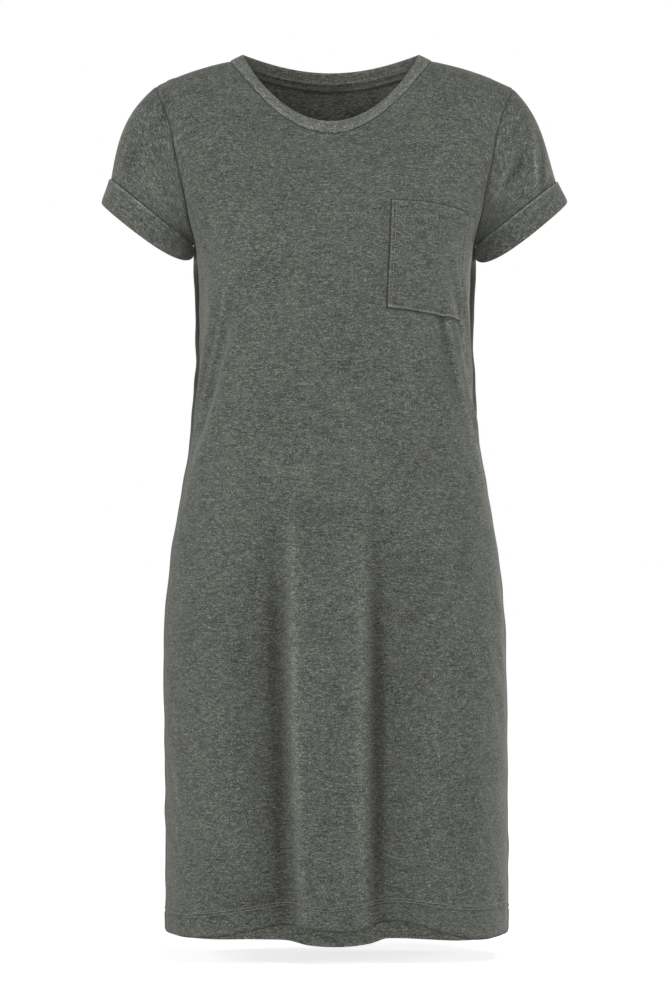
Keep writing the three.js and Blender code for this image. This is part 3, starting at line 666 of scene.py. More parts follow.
def armhole_loop(sleeve, front, back):
    """Loop of an armhole, from the underarm round. It takes the panels' own points."""
    start = len(front) - 1 - ARMHOLE_ROWS
    front_edge = front[start:, 0 if sleeve.side < 0 else -1]
    back_edge = back[start:, -1 if sleeve.side < 0 else 0]
    first, second = (front_edge, back_edge) if sleeve.side < 0 else (back_edge, front_edge)
    return np.concatenate([first, second[1:-1][::-1]])


def move_inward(first, second, amount):
    a, b = np.array(first, float), np.array(second, float)
    step = (b - a) * amount / np.linalg.norm(b - a)
    return a + step, b - step


def unit(vectors):
    return vectors / np.maximum(np.linalg.norm(vectors, axis=-1, keepdims=True), SMALLEST_LENGTH)


def sleeve_grids(sleeve, loop):
    """Sleeve from armhole to cuff line, and the cuff from there to its folded edge."""
    count = len(loop)
    top_outer, top_inner = move_inward(sleeve.top_outer, sleeve.top_inner, CUFF_PROUD)
    end_outer, end_inner = move_inward(sleeve.end_outer, sleeve.end_inner, CUFF_PROUD)
    top = sleeve_ring(sleeve, top_outer, top_inner, CUFF_TOP_DEPTH, count, NO_BOW)
    end = sleeve_ring(sleeve, end_outer, end_inner, CUFF_END_DEPTH, count, CUFF_BOW)
    angle = 2 * np.pi * np.arange(count) / count
    chord = top - loop
    reach = np.linalg.norm(chord, axis=1, keepdims=True) * SLEEVE_HANDLE
    outward, sideways = sleeve.side * (1 - np.cos(angle)) / 2, sleeve.side * np.sin(angle)
    spread = np.stack([outward * sleeve.lift, sideways * SLEEVE_SIDE_LIFT, 0 * angle], -1)
    leave = unit(unit(chord) + spread)
    arrive = unit(unit(end - top) - SLEEVE_ARRIVAL * np.stack([outward, sideways, 0 * angle], -1))
    rows = []
    for s in edge_spaced(SLEEVE_ROWS):
        r = 1 - s
        point = r ** 3 * loop + 3 * r * r * s * (loop + leave * reach)
        point = point + 3 * r * s * s * (top - arrive * reach) + s ** 3 * top
        front_or_back = np.sign(np.round(sleeve.side * np.sin(angle), SINE_DIGITS))
        relief = np.zeros(count)
        for face in (-1, 1):
            part = np.zeros(count)
            for fold in SLEEVE_FOLDS[sleeve.side, face]:
                line = through_three(fold.place, fold.z, point[:, 2])
                part += fold_height(fold, point[:, 0] - line, point[:, 2])
            part += crease_height(SLEEVE_CREASES[sleeve.side, face], point[:, 0], point[:, 2])
            relief += np.where(front_or_back == face, part, 0)
        side_fade = smooth(np.abs(np.sin(angle)) / SLEEVE_SIDE_FADE)
        fade = smooth(s / CREASE_START) * smooth((1 - s) / CREASE_END) * side_fade
        point[:, 1] += front_or_back * relief * fade
        rows.append(point)
    grid = np.array(rows)
    grid[0] = loop
    along = CUFF_PROFILE[:, 0][:, None, None]
    cuff = mix(grid[-1][None], end[None], along)
    return grid, cuff


def neckband_grid(front, back):
    """Neckband from the neck seam to its free edge. The loop takes the panels' own points."""
    seam, edge = [], []
    for grid, face in ((front, -1), (back, 1)):
        drop, power, deep = BAND_EDGES[face]
        i = np.arange(NECK_COLUMNS)
        angle = np.pi * (i if face < 0 else NECK_COLUMNS - i) / NECK_COLUMNS
        sine = np.maximum(np.sin(angle), 0)
        seam.append(grid[-1, SHOULDER_COLUMNS:SHOULDER_COLUMNS + NECK_COLUMNS])
        edge.append(np.stack([
            BAND_MIDDLE_X - BAND_HALF * np.cos(angle),
            mix(SHOULDER_SEAM_Y, deep, sine ** BAND_DEPTH_POWER),
            BAND_EDGE_Z - drop * sine ** power,
        ], -1))
    seam, edge = np.concatenate(seam), np.concatenate(edge)
    return mix(seam[None], edge[None], NECKBAND_PROFILE[:, 0][:, None, None])


def below_top(grid, column, distances):
    """Points of a grid's column, at distances below the grid's top edge."""
    line = grid[::-1, column]
    along = np.concatenate([[0], np.cumsum(np.linalg.norm(np.diff(line, axis=0), axis=1))])
    return np.stack([np.interp(distances, along, line[:, k]) for k in range(3)], -1)


def tape_grid(back):
    """Tape below the back neck seam, from shoulder to shoulder."""
    distances = TAPE_TOP + TAPE_HEIGHT * np.arange(TAPE_ROWS, -1, -1) / TAPE_ROWS
    first = SHOULDER_COLUMNS + TAPE_END_COLUMNS
    last = SHOULDER_COLUMNS + NECK_COLUMNS - TAPE_END_COLUMNS
    return np.stack([below_top(back, column, distances) for column in range(first, last + 1)], 1)


def on_panel(grid, column, z):
    """Point of a panel at a place among its columns and a height."""
    low = int(column)
    ends = []
    for c in (low, min(low + 1, PANEL_COLUMNS)):
        ends.append(np.array([np.interp(z, grid[:, c, 2], grid[:, c, k]) for k in range(3)]))
    return mix(ends[0], ends[1], column - low)


def pocket_place(part, up):
    """Column and height on the front, for a part of the pocket's width and of its height."""
    low_column = mix(POCKET_LOW[0][0], POCKET_LOW[1][0], part)
    top_column = mix(POCKET_TOP[0][0], POCKET_TOP[1][0], part)
    low = mix(POCKET_LOW[0][1], POCKET_LOW[1][1], part)
    top = mix(POCKET_TOP[0][1], POCKET_TOP[1][1], part) + POCKET_TOP_RISE * math.sin(math.pi * part)
    return mix(low_column, top_column, up) * PANEL_COLUMNS / POCKET_UNITS, mix(low, top, up)


def edge_spaced(count):
    """Parts from 0 to 1, closer together at both ends."""
    s = np.linspace(0, 1, count + 1)
    return mix(s, (1 - np.cos(np.pi * s)) / 2, EDGE_CROWDING)


def pocket_grid(front):
    grid = []
    for up in edge_spaced(POCKET_ROWS):
        row = [on_panel(front, *pocket_place(part, up)) for part in edge_spaced(POCKET_COLUMNS)]
        grid.append(row)
    return np.array(grid)


def grid_normals(grid, closed):
    """Outward direction at each point of a grid."""
    if closed:
        across = np.roll(grid, -1, 1) - np.roll(grid, 1, 1)
    else:
        padded = np.concatenate([grid[:, :1], grid, grid[:, -1:]], 1)
        across = padded[:, 2:] - padded[:, :-2]
    tall = np.concatenate([grid[:1], grid, grid[-1:]])
    return unit(np.cross(across, tall[2:] - tall[:-2]))


def lengths_along(grid, axis):
    """Distance from the first point to each point, along an axis of a grid."""
    steps = np.linalg.norm(np.diff(grid, axis=axis), axis=-1)
    first = np.zeros_like(np.take(steps, [0], axis))
    return np.concatenate([first, np.cumsum(steps, axis)], axis)


def seam_dip(distance):
    return SEAM_DEPTH * near(distance, SEAM_REACH)


# Painted shade in the groove of a seam, fading with distance from it
def painted_shade(distance):
    return SEAM_SHADE * near(distance, SEAM_SHADE_REACH)


def crease_shade(creases, grid):
    """Painted shade that a crease's trough gets and painted highlight that its ridge gets, more than its form
    alone gives.
    """
    relief = crease_height(creases, grid[..., 0], grid[..., 2])
    return np.clip(-CREASE_SHADE * relief, -CREASE_GLOW_MOST, CREASE_SHADE_MOST)


class Piece:
    """One piece of cloth: its grid, how far its outer face lies from the grid, its thickness, and its cloth
    coordinates u along the courses and v along the wales."""

    def __init__(self, name, grid, closed, lift, thick, u, v):
        self.name, self.grid, self.closed = name, grid, closed
        self.lift = lift + np.zeros(grid.shape[:2])
        self.thick = thick + np.zeros(grid.shape[:2])
        self.u, self.v = u, v
        self.shade = np.zeros(grid.shape[:2])
        # Inner faces get painted light, paler, unless a piece sets its own
        self.inner_shade = INSIDE_SHADE + np.zeros(grid.shape[:2])
        self.normals = grid_normals(grid, closed)

    def border(self):
        rows, columns = self.grid.shape[:2]
        keep = np.zeros((rows, columns), bool)
        keep[[0, -1]] = True
        if not self.closed:
            keep[:, [0, -1]] = True
        return np.argwhere(keep)

    def outer(self):
        return self.grid + self.normals * self.lift[..., None]


def share_normals(pieces):
    """Pieces that share a seam point share one direction there, so their walls meet."""
    found = {}
    for piece in pieces:
        for r, c in piece.border():
            key = tuple(np.round(piece.grid[r, c], SEAM_DIGITS))
            weight = RING_WEIGHT if piece.closed else 1
            found[key] = found.get(key, np.zeros(3)) + piece.normals[r, c] * weight
    for piece in pieces:
        for r, c in piece.border():
            piece.normals[r, c] = unit(found[tuple(np.round(piece.grid[r, c], SEAM_DIGITS))])


def panel_piece(name, panel, grid):
    from_side = np.minimum(lengths_along(grid, 1), lengths_along(grid[:, ::-1], 1)[:, ::-1])
    from_top = lengths_along(grid[::-1], 0)[::-1]
    lift = -seam_dip(from_side) - seam_dip(from_top)
    parts = np.zeros(len(grid))
    parts[:HEM_ROWS] = HEM_PARTS
    parts[HEM_ROWS:] = HEM_PARTS[-1]
    in_hem = smooth((1 - parts) / HEM_STEP_PART)
    thick = mix(CLOTH, HEM_CLOTH, in_hem)
    edge = smooth(1 - parts / HEM_EDGE_PART)
    hem_lift = HEM_PUFF * in_hem - HEM_EDGE_DEPTH * edge
    stitch = HEM_STITCH_DEPTH * near(parts - 1, HEM_STITCH_PART)
    lift = lift + (hem_lift - stitch)[:, None]
    thick = (thick - HEM_EDGE_THIN * edge)[:, None]
    middle = PANEL_COLUMNS // 2
    u = lengths_along(grid, 1)
    u = u - u[:, middle:middle + 1]
    rise = np.diff(grid[..., 2], axis=0)
    run = np.diff(grid[..., 1], axis=0)
    upper = (np.arange(len(rise)) >= len(grid) - 1 - ARMHOLE_ROWS)[:, None]
    extra = np.where(upper, np.hypot(rise, run) - rise, 0)
    v = grid[..., 2] + np.concatenate([0 * extra[:1], np.cumsum(extra, 0)])
    piece = Piece(name, grid, False, lift, thick, u, v)
    # Painted shade lines under the hem's stitches and along its edge
    hem_line = HEM_LINE_SHADE * near(parts - HEM_LINE_PART, HEM_LINE_REACH)
    hem_line = hem_line + HEM_EDGE_SHADE * near(parts, HEM_EDGE_REACH)
    piece.shade = np.maximum(painted_shade(from_side), painted_shade(from_top)) + hem_line[:, None]
    turn = 2 * np.arange(PANEL_COLUMNS + 1) / PANEL_COLUMNS - 1
    z = grid[..., 2]
    # Painted shade in the bottoms of the folds, as deep as they are, fading in below the waist
    deep = np.clip(-folds_relief(panel, turn * -panel.face, z) / FOLD_SHADE_DEPTH, 0, 1)
    deep = deep * smooth((FOLD_SHADE_TOP - z) / FOLD_SHADE_FADE)
    piece.shade = piece.shade + FOLD_SHADE * deep + crease_shade(panel.creases, grid)
    if panel is BACK:
        # Painted light on the inner face of the back's turned-up hem, far paler
        turned_up = smooth((INSIDE_HEM_TOP - z) / INSIDE_HEM_FADE)
        piece.inner_shade = mix(INSIDE_SHADE, INSIDE_HEM_SHADE, turned_up)
        # Painted shadow on the back's side below the arm, where the sleeve shades it
        down_side = smooth((SIDE_SHADE_TOP - z) / SIDE_SHADE_REACH)
        down_side = down_side * smooth((z - SIDE_SHADE_END) / SIDE_SHADE_FADE)
        side_shade = SIDE_SHADE * down_side * near(from_side, SIDE_SHADE_REACH)
        piece.shade = np.maximum(piece.shade, side_shade)
    return piece


def ring_coordinates(grid, mean_row):
    """Cloth coordinates of a ring: round it on one row's own length, and along it from its first row."""
    row = grid[mean_row]
    steps = np.linalg.norm(np.roll(row, -1, 0) - row, axis=1)
    around = np.concatenate([[0], np.cumsum(steps)])
    along = lengths_along(grid, 0).mean(1)
    return np.tile(around, (len(grid), 1)), np.tile(along[:, None], (1, grid.shape[1] + 1))


def build_pieces():
    front, back = panel_grid(FRONT), panel_grid(BACK)
    pieces = {
        "front": panel_piece("front", FRONT, front),
        "back": panel_piece("back", BACK, back),
    }
    for sleeve in SLEEVES:
        loop = armhole_loop(sleeve, front, back)
        grid, cuff = sleeve_grids(sleeve, loop)
        dip = seam_dip(lengths_along(grid, 0))
        u, v = ring_coordinates(grid, SLEEVE_ROWS // 2)
        made = Piece("sleeve_" + sleeve.name, grid, True, -dip, CLOTH, u, -v)
        to_cuff = lengths_along(grid[::-1], 0)[::-1]
        # Painted shade beside the armhole seam and beside the cuff's top edge
        made.shade = painted_shade(lengths_along(grid, 0)) + CUFF_SHADE * near(to_cuff, CUFF_SHADE_REACH)
        for face in (-1, 1):
            # Painted crease shade and painted highlight on each face of the sleeve
            creased = crease_shade(SLEEVE_CREASES[sleeve.side, face], grid)
            made.shade = made.shade + np.where(grid[..., 1] * face > 0, creased, 0)
        pieces[made.name] = made
        u, v = ring_coordinates(cuff, 0)
        lift, thick = CUFF_PROFILE[:, 1][:, None], CUFF_PROFILE[:, 2][:, None]
        made = Piece("cuff_" + sleeve.name, cuff, True, lift, thick, u, v)
        # Painted shade at the cuff's seam and folded edge, painted highlight along its top edge
        made.shade = made.shade + CUFF_PROFILE[:, 3][:, None]
        pieces[made.name] = made
    band = neckband_grid(front, back)
    u, v = ring_coordinates(band, len(band) // 2)
    flat_at_tip = 1 - TIP_FLATNESS * smooth((band[..., 2] - TIP_BOTTOM) / TIP_FADE)
    lift = NECKBAND_PROFILE[:, 1][:, None] * flat_at_tip - seam_dip(lengths_along(band, 0))
    pieces["neckband"] = Piece("neckband", band, True, lift, NECKBAND_PROFILE[:, 2][:, None], u, v)
    # Painted shade at the neckband's seam, painted highlight beside it
    pieces["neckband"].shade = NECKBAND_PROFILE[:, 3][:, None] + 0 * u[:, :-1]
    # Painted shade on the neckband's inner face, a little darker
    pieces["neckband"].inner_shade[:] = INSIDE_BAND_SHADE
    tape = tape_grid(back)
    u, v = lengths_along(tape, 1), lengths_along(tape, 0)
    tape_lift = -CLOTH - TAPE_GAP - tape_edges(tape)
    pieces["neck_tape"] = Piece("neck_tape", tape, False, tape_lift, TAPE_CLOTH, u, v)
    # Painted shade lines on the tape's visible face, at its edges and along its stitches
    from_edge = np.minimum(v, v[-1:] - v)
    stitch_line = TAPE_STITCH_SHARE * near(from_edge - TAPE_SEAM, TAPE_EDGE_REACH)
    lines = np.maximum(near(from_edge, TAPE_EDGE_REACH), stitch_line)
    pieces["neck_tape"].inner_shade = TAPE_EDGE_SHADE * lines
    pieces["pocket"] = pocket_piece(pocket_grid(front))
    share_normals(list(pieces.values()))
    return pieces


def tape_edges(grid):
    """How far the tape stands off the cloth: it is flat at its stitched edges and puffs up between them."""
    part = np.linspace(0, 1, len(grid))[:, None]
    return TAPE_PUFF * np.sin(np.pi * part) + 0 * grid[..., 0]


def pocket_piece(grid):
    """Pocket: its edges roll down to the front, its stitches draw it in, and its hem is thicker."""
    from_left, from_low = lengths_along(grid, 1), lengths_along(grid, 0)
    from_right = from_left[:, -1:] - from_left
    from_top = from_low[-1:] - from_low
    sewn = np.minimum(np.minimum(from_left, from_right), from_low)
    any_edge = np.minimum(sewn, from_top)
    hem = smooth((POCKET_HEM - from_top) / POCKET_STITCH_REACH + 1)
    side_line = near(sewn - POCKET_SEAM, POCKET_STITCH_REACH)
    stitch_lines = np.maximum(side_line, near(from_top - POCKET_HEM, POCKET_STITCH_REACH))
    thick = POCKET_CLOTH + POCKET_HEM_CLOTH * hem
    roll = 1 - quarter_round(any_edge / POCKET_EDGE_REACH)
    lift = POCKET_GAP + thick - POCKET_STITCH_DEPTH * stitch_lines
    lift = lift - (thick - POCKET_EDGE_LIP) * roll
    thick = mix(thick, POCKET_EDGE_LIP, roll)
    piece = Piece("pocket", grid, False, lift, thick, from_left + POCKET_SHIFT_U, grid[..., 2])
    # Painted shadow line just inside each edge, painted highlight further in, and painted shade along the
    # stitches
    for distance, share in zip((from_left, from_low, from_right, from_top), POCKET_EDGE_SHARES):
        dark = POCKET_SHADE * near(distance - POCKET_DARK_PLACE, POCKET_EDGE_REACH)
        glow = POCKET_GLOW * near(distance - POCKET_GLOW_PLACE, POCKET_EDGE_REACH)
        piece.shade = piece.shade + share * (dark - glow)
    piece.shade = piece.shade + POCKET_LINE_SHADE * stitch_lines
    return piece


def new_object(name, points, faces, material, uv=None, shade=None):
    mesh = bpy.data.meshes.new(name)
    mesh.from_pydata((np.asarray(points) * METRES).tolist(), [], faces)
    if uv is not None:
        layer = mesh.uv_layers.new(name="cloth")
        layer.data.foreach_set("uv", (np.asarray(uv) * METRES).astype(np.float32).ravel())
    if shade is not None:
        # Painted shade and painted highlight of each point, as a share of its brightness
        layer = mesh.attributes.new("painted_shade", "FLOAT", "POINT")
        layer.data.foreach_set("value", np.asarray(shade, np.float32).ravel())
    mesh.polygons.foreach_set("use_smooth", np.ones(len(mesh.polygons), bool))
    mesh.materials.append(material)
    mesh.update()
    made = bpy.data.objects.new(name, mesh)
    bpy.context.scene.collection.objects.link(made)
    return made


def wall_object(piece, name, material):
    """Closed wall of a piece, with its cloth coordinates on both faces."""
    rows, columns = piece.grid.shape[:2]
    outer = piece.outer()
    inner = outer - piece.normals * piece.thick[..., None]
    half = rows * columns
    spans = columns if piece.closed else columns - 1
    r, c = np.meshgrid(np.arange(rows - 1), np.arange(spans), indexing="ij")
    r, c = r.ravel(), c.ravel()
    corners = [(r, c), (r, c + 1), (r + 1, c + 1), (r + 1, c)]

    def index(row, column):
        return row * columns + column % columns

    def place(row, column):
        return np.stack([piece.u[row, column], piece.v[row, column]], -1)

    outer_faces = np.stack([index(*corner) for corner in corners], 1)
    outer_uv = np.stack([place(*corner) for corner in corners], 1)
    faces = [outer_faces, (half + outer_faces)[:, ::-1]]
    uv = [outer_uv, outer_uv[:, ::-1]]

    def add_rim(a, b, step):
        rim = [index(*a), half + index(*a), half + index(*b), index(*b)]
        rim_uv = [place(*a), place(*a), place(*b), place(*b)]
        faces.append(np.stack(rim[::step], 1))
        uv.append(np.stack(rim_uv[::step], 1))

    span, rise = np.arange(spans), np.arange(rows - 1)
    for row, step in ((0, 1), (rows - 1, -1)):
        add_rim((row + 0 * span, span), (row + 0 * span, span + 1), step)
    if not piece.closed:
        for column, step in ((0, -1), (columns - 1, 1)):
            add_rim((rise, column + 0 * rise), (rise + 1, column + 0 * rise), step)
    points = np.concatenate([outer.reshape(-1, 3), inner.reshape(-1, 3)])
    shade = np.concatenate([piece.shade.ravel(), piece.inner_shade.ravel()])
    uv = np.concatenate(uv).reshape(-1, 2)
    return new_object(name, points, np.concatenate(faces).tolist(), material, uv, shade)


def spaced_line(points, normals, step):
    """Points of a line a fixed step apart, with the directions out of the cloth there."""
    along = np.concatenate([[0], np.cumsum(np.linalg.norm(np.diff(points, axis=0), axis=1))])
    places = np.arange(step / 2, along[-1] - step / 2, step)
    ends = []
    for shift in (-STITCH_LENGTH / 2, 0, STITCH_LENGTH / 2):
        at = places + shift
        ends.append(np.stack([np.interp(at, along, points[:, k]) for k in range(3)], -1))
    out = unit(np.stack([np.interp(places, along, normals[:, k]) for k in range(3)], -1))
    return ends, out


def stitches(name, lines):
    """Rows of short threads on the cloth, along lines of points and directions."""
    points, faces = [], []
    angles = 2 * np.pi * np.arange(STITCH_SIDES) / STITCH_SIDES
    for line, normals in lines:
        (start, middle, end), out = spaced_line(line, normals, STITCH_STEP)
        side = unit(np.cross(unit(end - start), out))
        for k in range(len(out)):
            base = len(points)
            for part, wide, high in STITCH_RINGS:
                centre = mix(mix(start[k], middle[k], part), mix(middle[k], end[k], part), part)
                centre = centre + out[k] * high * THREAD
                for angle in angles:
                    offset = side[k] * math.cos(angle) + out[k] * math.sin(angle)
                    points.append(centre + offset * wide * THREAD / 2)
            rings = len(STITCH_RINGS)
            for ring in range(rings - 1):
                for i in range(STITCH_SIDES):
                    a = base + ring * STITCH_SIDES + i
                    b = base + ring * STITCH_SIDES + (i + 1) % STITCH_SIDES
                    faces.append((a, b, b + STITCH_SIDES, a + STITCH_SIDES))
            faces.append(tuple(base + i for i in range(STITCH_SIDES))[::-1])
            faces.append(tuple(base + (rings - 1) * STITCH_SIDES + i for i in range(STITCH_SIDES)))
    made = new_object(name, points, faces, THREAD_MATERIAL)
    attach(made, "root")
    return made


def linear(hex_colour):
    """Linear red, green, blue and alpha of an sRGB hex colour."""
    values = [int(hex_colour[i:i + 2], 16) / 255 for i in (1, 3, 5)]
    return [v / 12.92 if v <= 0.04045 else ((v + 0.055) / 1.055) ** 2.4 for v in values] + [1]


def add(tree, kind, values=None, links=None, **settings):
    """Adds a node with its settings, the values of its sockets, and the links that feed it."""
    node = tree.nodes.new(kind)
    for key, value in settings.items():
        setattr(node, key, value)
    for key, value in (values or {}).items():
        node.inputs[key].default_value = value
    for key, socket in (links or {}).items():
        tree.links.new(socket, node.inputs[key])
    return node


def heather_jersey(name, ground, fleck_strength=1.0):
    """Single knit of dyed and undyed fibres, brushed by washing: short pale and dark flecks on a mottled
    ground, and a faint sheen at a flat angle."""
    material = bpy.data.materials.new(name)
    material.use_nodes = True
    tree = material.node_tree
    tree.nodes.clear()
    cloth = add(tree, "ShaderNodeUVMap", uv_map="cloth").outputs["UV"]

    def noise(pattern):
        scale = (1000 / pattern.width, 1000 / pattern.height, 1)
        start = (pattern.start, pattern.start, 0)
        place = add(tree, "ShaderNodeMapping", {"Scale": scale, "Location": start}, {"Vector": cloth})
        made = add(
            tree, "ShaderNodeTexNoise",
            {"Scale": 1, "Detail": pattern.detail, "Roughness": 0.55, "Distortion": pattern.distortion},
            {"Vector": place.outputs[0]}, noise_dimensions="2D",
        )
        return made.outputs["Fac"]

    def ranged(value, pattern, to_low, to_high):
        made = add(
            tree, "ShaderNodeMapRange",
            {"From Min": pattern.low, "From Max": pattern.high, "To Min": to_low, "To Max": to_high},
            {"Value": value}, interpolation_type="SMOOTHSTEP",
        )
        return made.outputs["Result"]

    fields = {pattern: noise(pattern) for pattern in (FLECKS, DARK_FLECKS, STREAKS, MOTTLE, CLOUDS, KNIT)}
    amounts = []
    for pattern, field in fields.items():
        strength = fleck_strength if pattern in (FLECKS, DARK_FLECKS) else 1
        amounts.append(ranged(field, pattern, pattern.at_low * strength, pattern.at_high * strength))
    total = add(tree, "ShaderNodeMath", {1: 1}, {0: amounts[0]}, operation="ADD").outputs[0]
    for amount in amounts[1:]:
        total = add(tree, "ShaderNodeMath", links={0: total, 1: amount}, operation="ADD").outputs[0]
    # Painted shade and painted highlight: each point's share darkens or lightens the cloth's colour
    shade = add(tree, "ShaderNodeAttribute", attribute_name="painted_shade").outputs["Fac"]
    kept = add(tree, "ShaderNodeMath", {0: 1}, {1: shade}, operation="SUBTRACT").outputs[0]
    bright = add(tree, "ShaderNodeMath", links={0: total, 1: kept}, operation="MULTIPLY").outputs[0]
    colour = add(
        tree, "ShaderNodeVectorMath", {0: linear(ground)[:3]}, {"Scale": bright}, operation="SCALE",
    )
    relief = add(tree, "ShaderNodeMath", links={0: fields[FLECKS], 1: fields[KNIT]}, operation="ADD")
    bump = add(tree, "ShaderNodeBump", {"Strength": 0.35, "Distance": 0.0004}, {"Height": relief.outputs[0]})
    rough = ranged(fields[MOTTLE], MOTTLE, SMOOTHEST, ROUGHEST)
    shader = add(
        tree, "ShaderNodeBsdfPrincipled",
        {
            "IOR": 1.5, "Metallic": 0, "Specular IOR Level": 0.25, "Sheen Weight": 0.35,
            "Sheen Roughness": 0.45, "Sheen Tint": linear(SHEEN_COLOUR),
        },
        {"Base Color": colour.outputs[0], "Roughness": rough, "Normal": bump.outputs[0]},
    )
    add(tree, "ShaderNodeOutputMaterial", links={"Surface": shader.outputs[0]})
    return material


def spun_thread(name, ground):
    """Spun polyester thread, dyed to match: a twisted yarn, painted paler than the cloth all over, a painted
    highlight for the light on its crown.
    """
    material = bpy.data.materials.new(name)
    material.use_nodes = True
    tree = material.node_tree
    tree.nodes.clear()
    place = add(tree, "ShaderNodeTexCoord").outputs["Object"]
    twist = add(tree, "ShaderNodeTexNoise", {"Scale": THREAD_TWISTS, "Detail": 1}, {"Vector": place})
    twist = twist.outputs["Fac"]
    amount = add(
        tree, "ShaderNodeMapRange",
        {"From Min": 0.3, "From Max": 0.7, "To Min": 0.75, "To Max": 1.25}, {"Value": twist},
    )
    colour = add(
        tree, "ShaderNodeVectorMath",
        {0: linear(ground)[:3]}, {"Scale": amount.outputs[0]}, operation="SCALE",
    )
    bump = add(tree, "ShaderNodeBump", {"Strength": 0.4, "Distance": 0.0001}, {"Height": twist})
    shader = add(
        tree, "ShaderNodeBsdfPrincipled",
        {"IOR": 1.55, "Roughness": 0.6, "Sheen Weight": 0.3, "Specular IOR Level": 0.4},
        {"Base Color": colour.outputs[0], "Normal": bump.outputs[0]},
    )
    add(tree, "ShaderNodeOutputMaterial", links={"Surface": shader.outputs[0]})
    return material


# Dark grey with pale flecks. The cuffs are the same cloth. The neckband is a little paler, the tape paler still
# and with fainter flecks, and the thread is the palest: a painted highlight for the light on its crown.
JERSEY = heather_jersey("heather_jersey_single_knit", "#484a45")
CUFF_JERSEY = heather_jersey("heather_jersey_turned_up_cuff", "#494b46")
BAND_JERSEY = heather_jersey("heather_jersey_folded_neckband", "#565853", 0.9)
TAPE_JERSEY = heather_jersey("heather_jersey_neck_tape", "#5f615d", 0.6)
THREAD_MATERIAL = spun_thread("spun_polyester_sewing_thread", "#70726c")

pieces = build_pieces()

# Slot, material, flat cut of what shows, how it is held, and what it hangs from or lies on
Cloth = namedtuple("Cloth", "slot material flat area held rests_on")
CLOTHS = {
    "front": Cloth("jersey", JERSEY, (0.46, 0.93), 0.4, "hung", ["neckband", "back"]),
    "back": Cloth("jersey", JERSEY, (0.45, 0.97), 0.395, "hung", ["neckband", "front"]),
    "sleeve_left": Cloth("jersey", JERSEY, (0.33, 0.1), 0.0195, "hung", ["front", "back"]),
    "sleeve_right": Cloth("jersey", JERSEY, (0.33, 0.1), 0.0195, "hung", ["front", "back"]),
    "cuff_left": Cloth("cuff_jersey", CUFF_JERSEY, (0.3, 0.03), None, "folded", ["sleeve_left"]),
    "cuff_right": Cloth("cuff_jersey", CUFF_JERSEY, (0.3, 0.03), None, "folded", ["sleeve_right"]),
    "neckband": Cloth("neckband_jersey", BAND_JERSEY, (0.53, 0.0145), None, "folded", ["front", "back"]),
    "neck_tape": Cloth("tape_jersey", TAPE_JERSEY, (0.235, 0.01), 0.002, "laid", ["back"]),
    "pocket": Cloth("jersey", JERSEY, (0.1, 0.115), None, "laid", ["front"]),
}

objects = {}
for name, piece in pieces.items():
    cloth = CLOTHS[name]
    made = wall_object(piece, name + "_cloth", cloth.material)
    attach(made, "root")
    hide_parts(name)
    objects[name] = made


def between_rows(piece, row, shift):
    """Line at a distance above a row of a grid."""
    outer = piece.outer()
    step = outer[row + 1] - outer[row]
    part = shift / np.linalg.norm(step, axis=1, keepdims=True)
    line = outer[row] + step * part
    return line[STITCH_INSET:-STITCH_INSET], piece.normals[row][STITCH_INSET:-STITCH_INSET]


def pocket_line(piece, inset_side, inset_low):
    """Line round the pocket's two sides and its low edge, at an inset from them."""
    outer = piece.outer()
    from_left, from_low = lengths_along(piece.grid, 1), lengths_along(piece.grid, 0)
    column_in = np.abs(from_left.mean(0) - inset_side).argmin()
    row_in = np.abs(from_low.mean(1) - inset_low).argmin()
    last = outer.shape[1] - 1 - column_in
    path = [(r, column_in) for r in range(outer.shape[0] - STITCH_INSET, row_in, -1)]
    path += [(row_in, c) for c in range(column_in, last)]
    path += [(r, last) for r in range(row_in, outer.shape[0] - 1)]
    rows, columns = np.array(path).T
    return outer[rows, columns], piece.normals[rows, columns]


def pocket_hem_line(piece):
    """Line along the pocket's hem, as far below its top edge as the hem is deep."""
    from_low = lengths_along(piece.grid, 0).mean(1)
    row = np.abs(from_low[-1] - from_low - POCKET_HEM).argmin()
    return piece.outer()[row][STITCH_INSET:-STITCH_INSET], piece.normals[row][STITCH_INSET:-STITCH_INSET]


for name in ("front", "back"):
    hem_lines = [between_rows(pieces[name], HEM_STITCH_ROW, shift) for shift in (0, TWIN_NEEDLE_GAP)]
    stitches(name + "_hem_stitches", hem_lines)
pocket = pieces["pocket"]
pocket_lines = [pocket_line(pocket, POCKET_SEAM, POCKET_SEAM / 2), pocket_hem_line(pocket)]
stitches("pocket_stitches", pocket_lines)

for name, made in objects.items():
    cloth = CLOTHS[name]

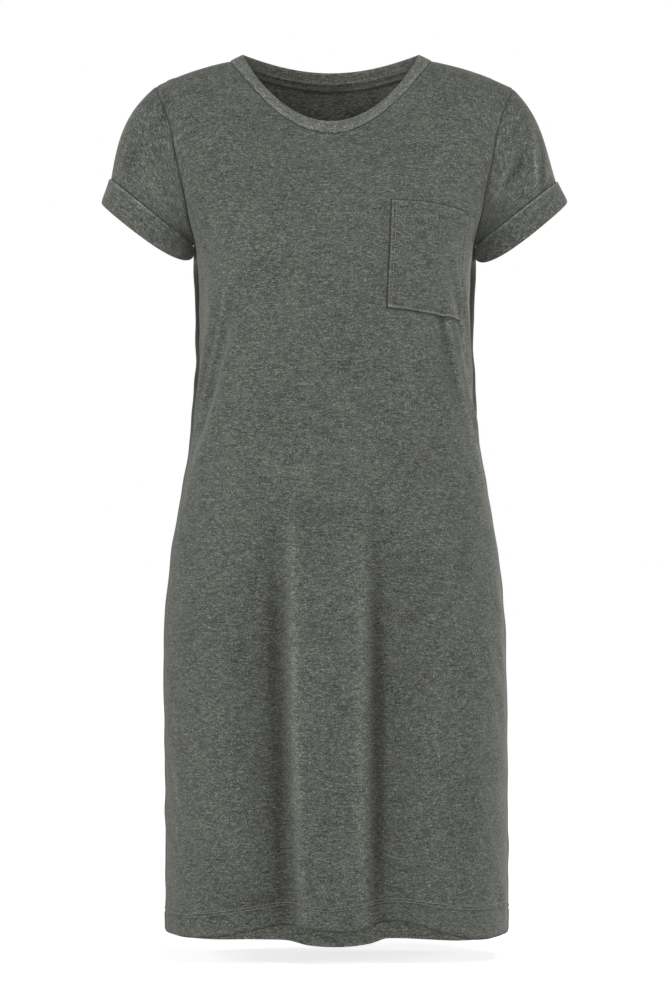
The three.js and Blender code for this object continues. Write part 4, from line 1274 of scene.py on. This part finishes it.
def studio_floor():
    mesh = bpy.data.meshes.new("floor")
    side = FLOOR_SIZE / 2
    mesh.from_pydata(
        [(-side, -side, FLOOR_Z), (side, -side, FLOOR_Z), (side, side, FLOOR_Z), (-side, side, FLOOR_Z)],
        [], [(0, 1, 2, 3)],
    )
    floor = bpy.data.objects.new("floor", mesh)
    bpy.context.scene.collection.objects.link(floor)
    material = bpy.data.materials.new("matt_white_painted_floor")
    material.use_nodes = True
    shader = material.node_tree.nodes["Principled BSDF"]
    shader.inputs["Base Color"].default_value = linear(FLOOR_COLOUR)
    shader.inputs["Roughness"].default_value = 0.9
    shader.inputs["Emission Color"].default_value = linear(GLOW_COLOUR)
    tree = material.node_tree
    place = add(tree, "ShaderNodeTexCoord").outputs["Object"]
    away = add(tree, "ShaderNodeVectorMath", links={0: place}, operation="LENGTH").outputs["Value"]
    glow = add(
        tree, "ShaderNodeMapRange",
        {"From Min": FLOOR_NEAR, "From Max": FLOOR_FAR, "To Min": FLOOR_GLOW_NEAR, "To Max": FLOOR_GLOW_FAR},
        {"Value": away},
    )
    seen = add(tree, "ShaderNodeLightPath").outputs["Is Camera Ray"]
    strength = add(
        tree, "ShaderNodeMapRange", {"To Min": FLOOR_LIGHT}, {"Value": seen, "To Max": glow.outputs[0]},
    )
    tree.links.new(strength.outputs[0], shader.inputs["Emission Strength"])
    mesh.materials.append(material)


def aimed(place, target):
    """Turn that points an object's -Z axis from a place at a target, with its Y axis up."""
    return (Vector(target) - Vector(place)).to_track_quat("-Z", "Y").to_euler()


def studio_light():
    for lamp in LAMPS:
        light = bpy.data.lights.new(lamp.name, "AREA")
        light.shape = "DISK"
        light.size = lamp.size
        light.energy = lamp.power
        made = bpy.data.objects.new(lamp.name, light)
        made.location = lamp.place
        made.rotation_euler = aimed(lamp.place, AIM)
        bpy.context.scene.collection.objects.link(made)
    world = bpy.data.worlds.new("studio")
    bpy.context.scene.world = world
    world.use_nodes = True
    tree = world.node_tree
    tree.nodes.clear()
    seen = add(tree, "ShaderNodeLightPath").outputs["Is Camera Ray"]
    strength = add(
        tree, "ShaderNodeMapRange", {"To Min": WORLD_LIGHT, "To Max": WORLD_SHOWN}, {"Value": seen},
    )
    white = linear(GLOW_COLOUR)
    back = add(tree, "ShaderNodeBackground", {"Color": white}, {"Strength": strength.outputs[0]})
    add(tree, "ShaderNodeOutputWorld", links={"Surface": back.outputs[0]})


def studio_camera():
    camera = bpy.data.cameras.new("camera")
    camera.lens = CAMERA_LENS
    camera.sensor_width = SENSOR
    made = bpy.data.objects.new("camera", camera)
    made.location = CAMERA_PLACE
    made.rotation_euler = (math.pi / 2, 0, 0)
    bpy.context.scene.collection.objects.link(made)
    bpy.context.scene.camera = made


studio_floor()
studio_light()
studio_camera()
bpy.context.scene.view_settings.view_transform = "Standard"

bpy.context.view_layer.update()
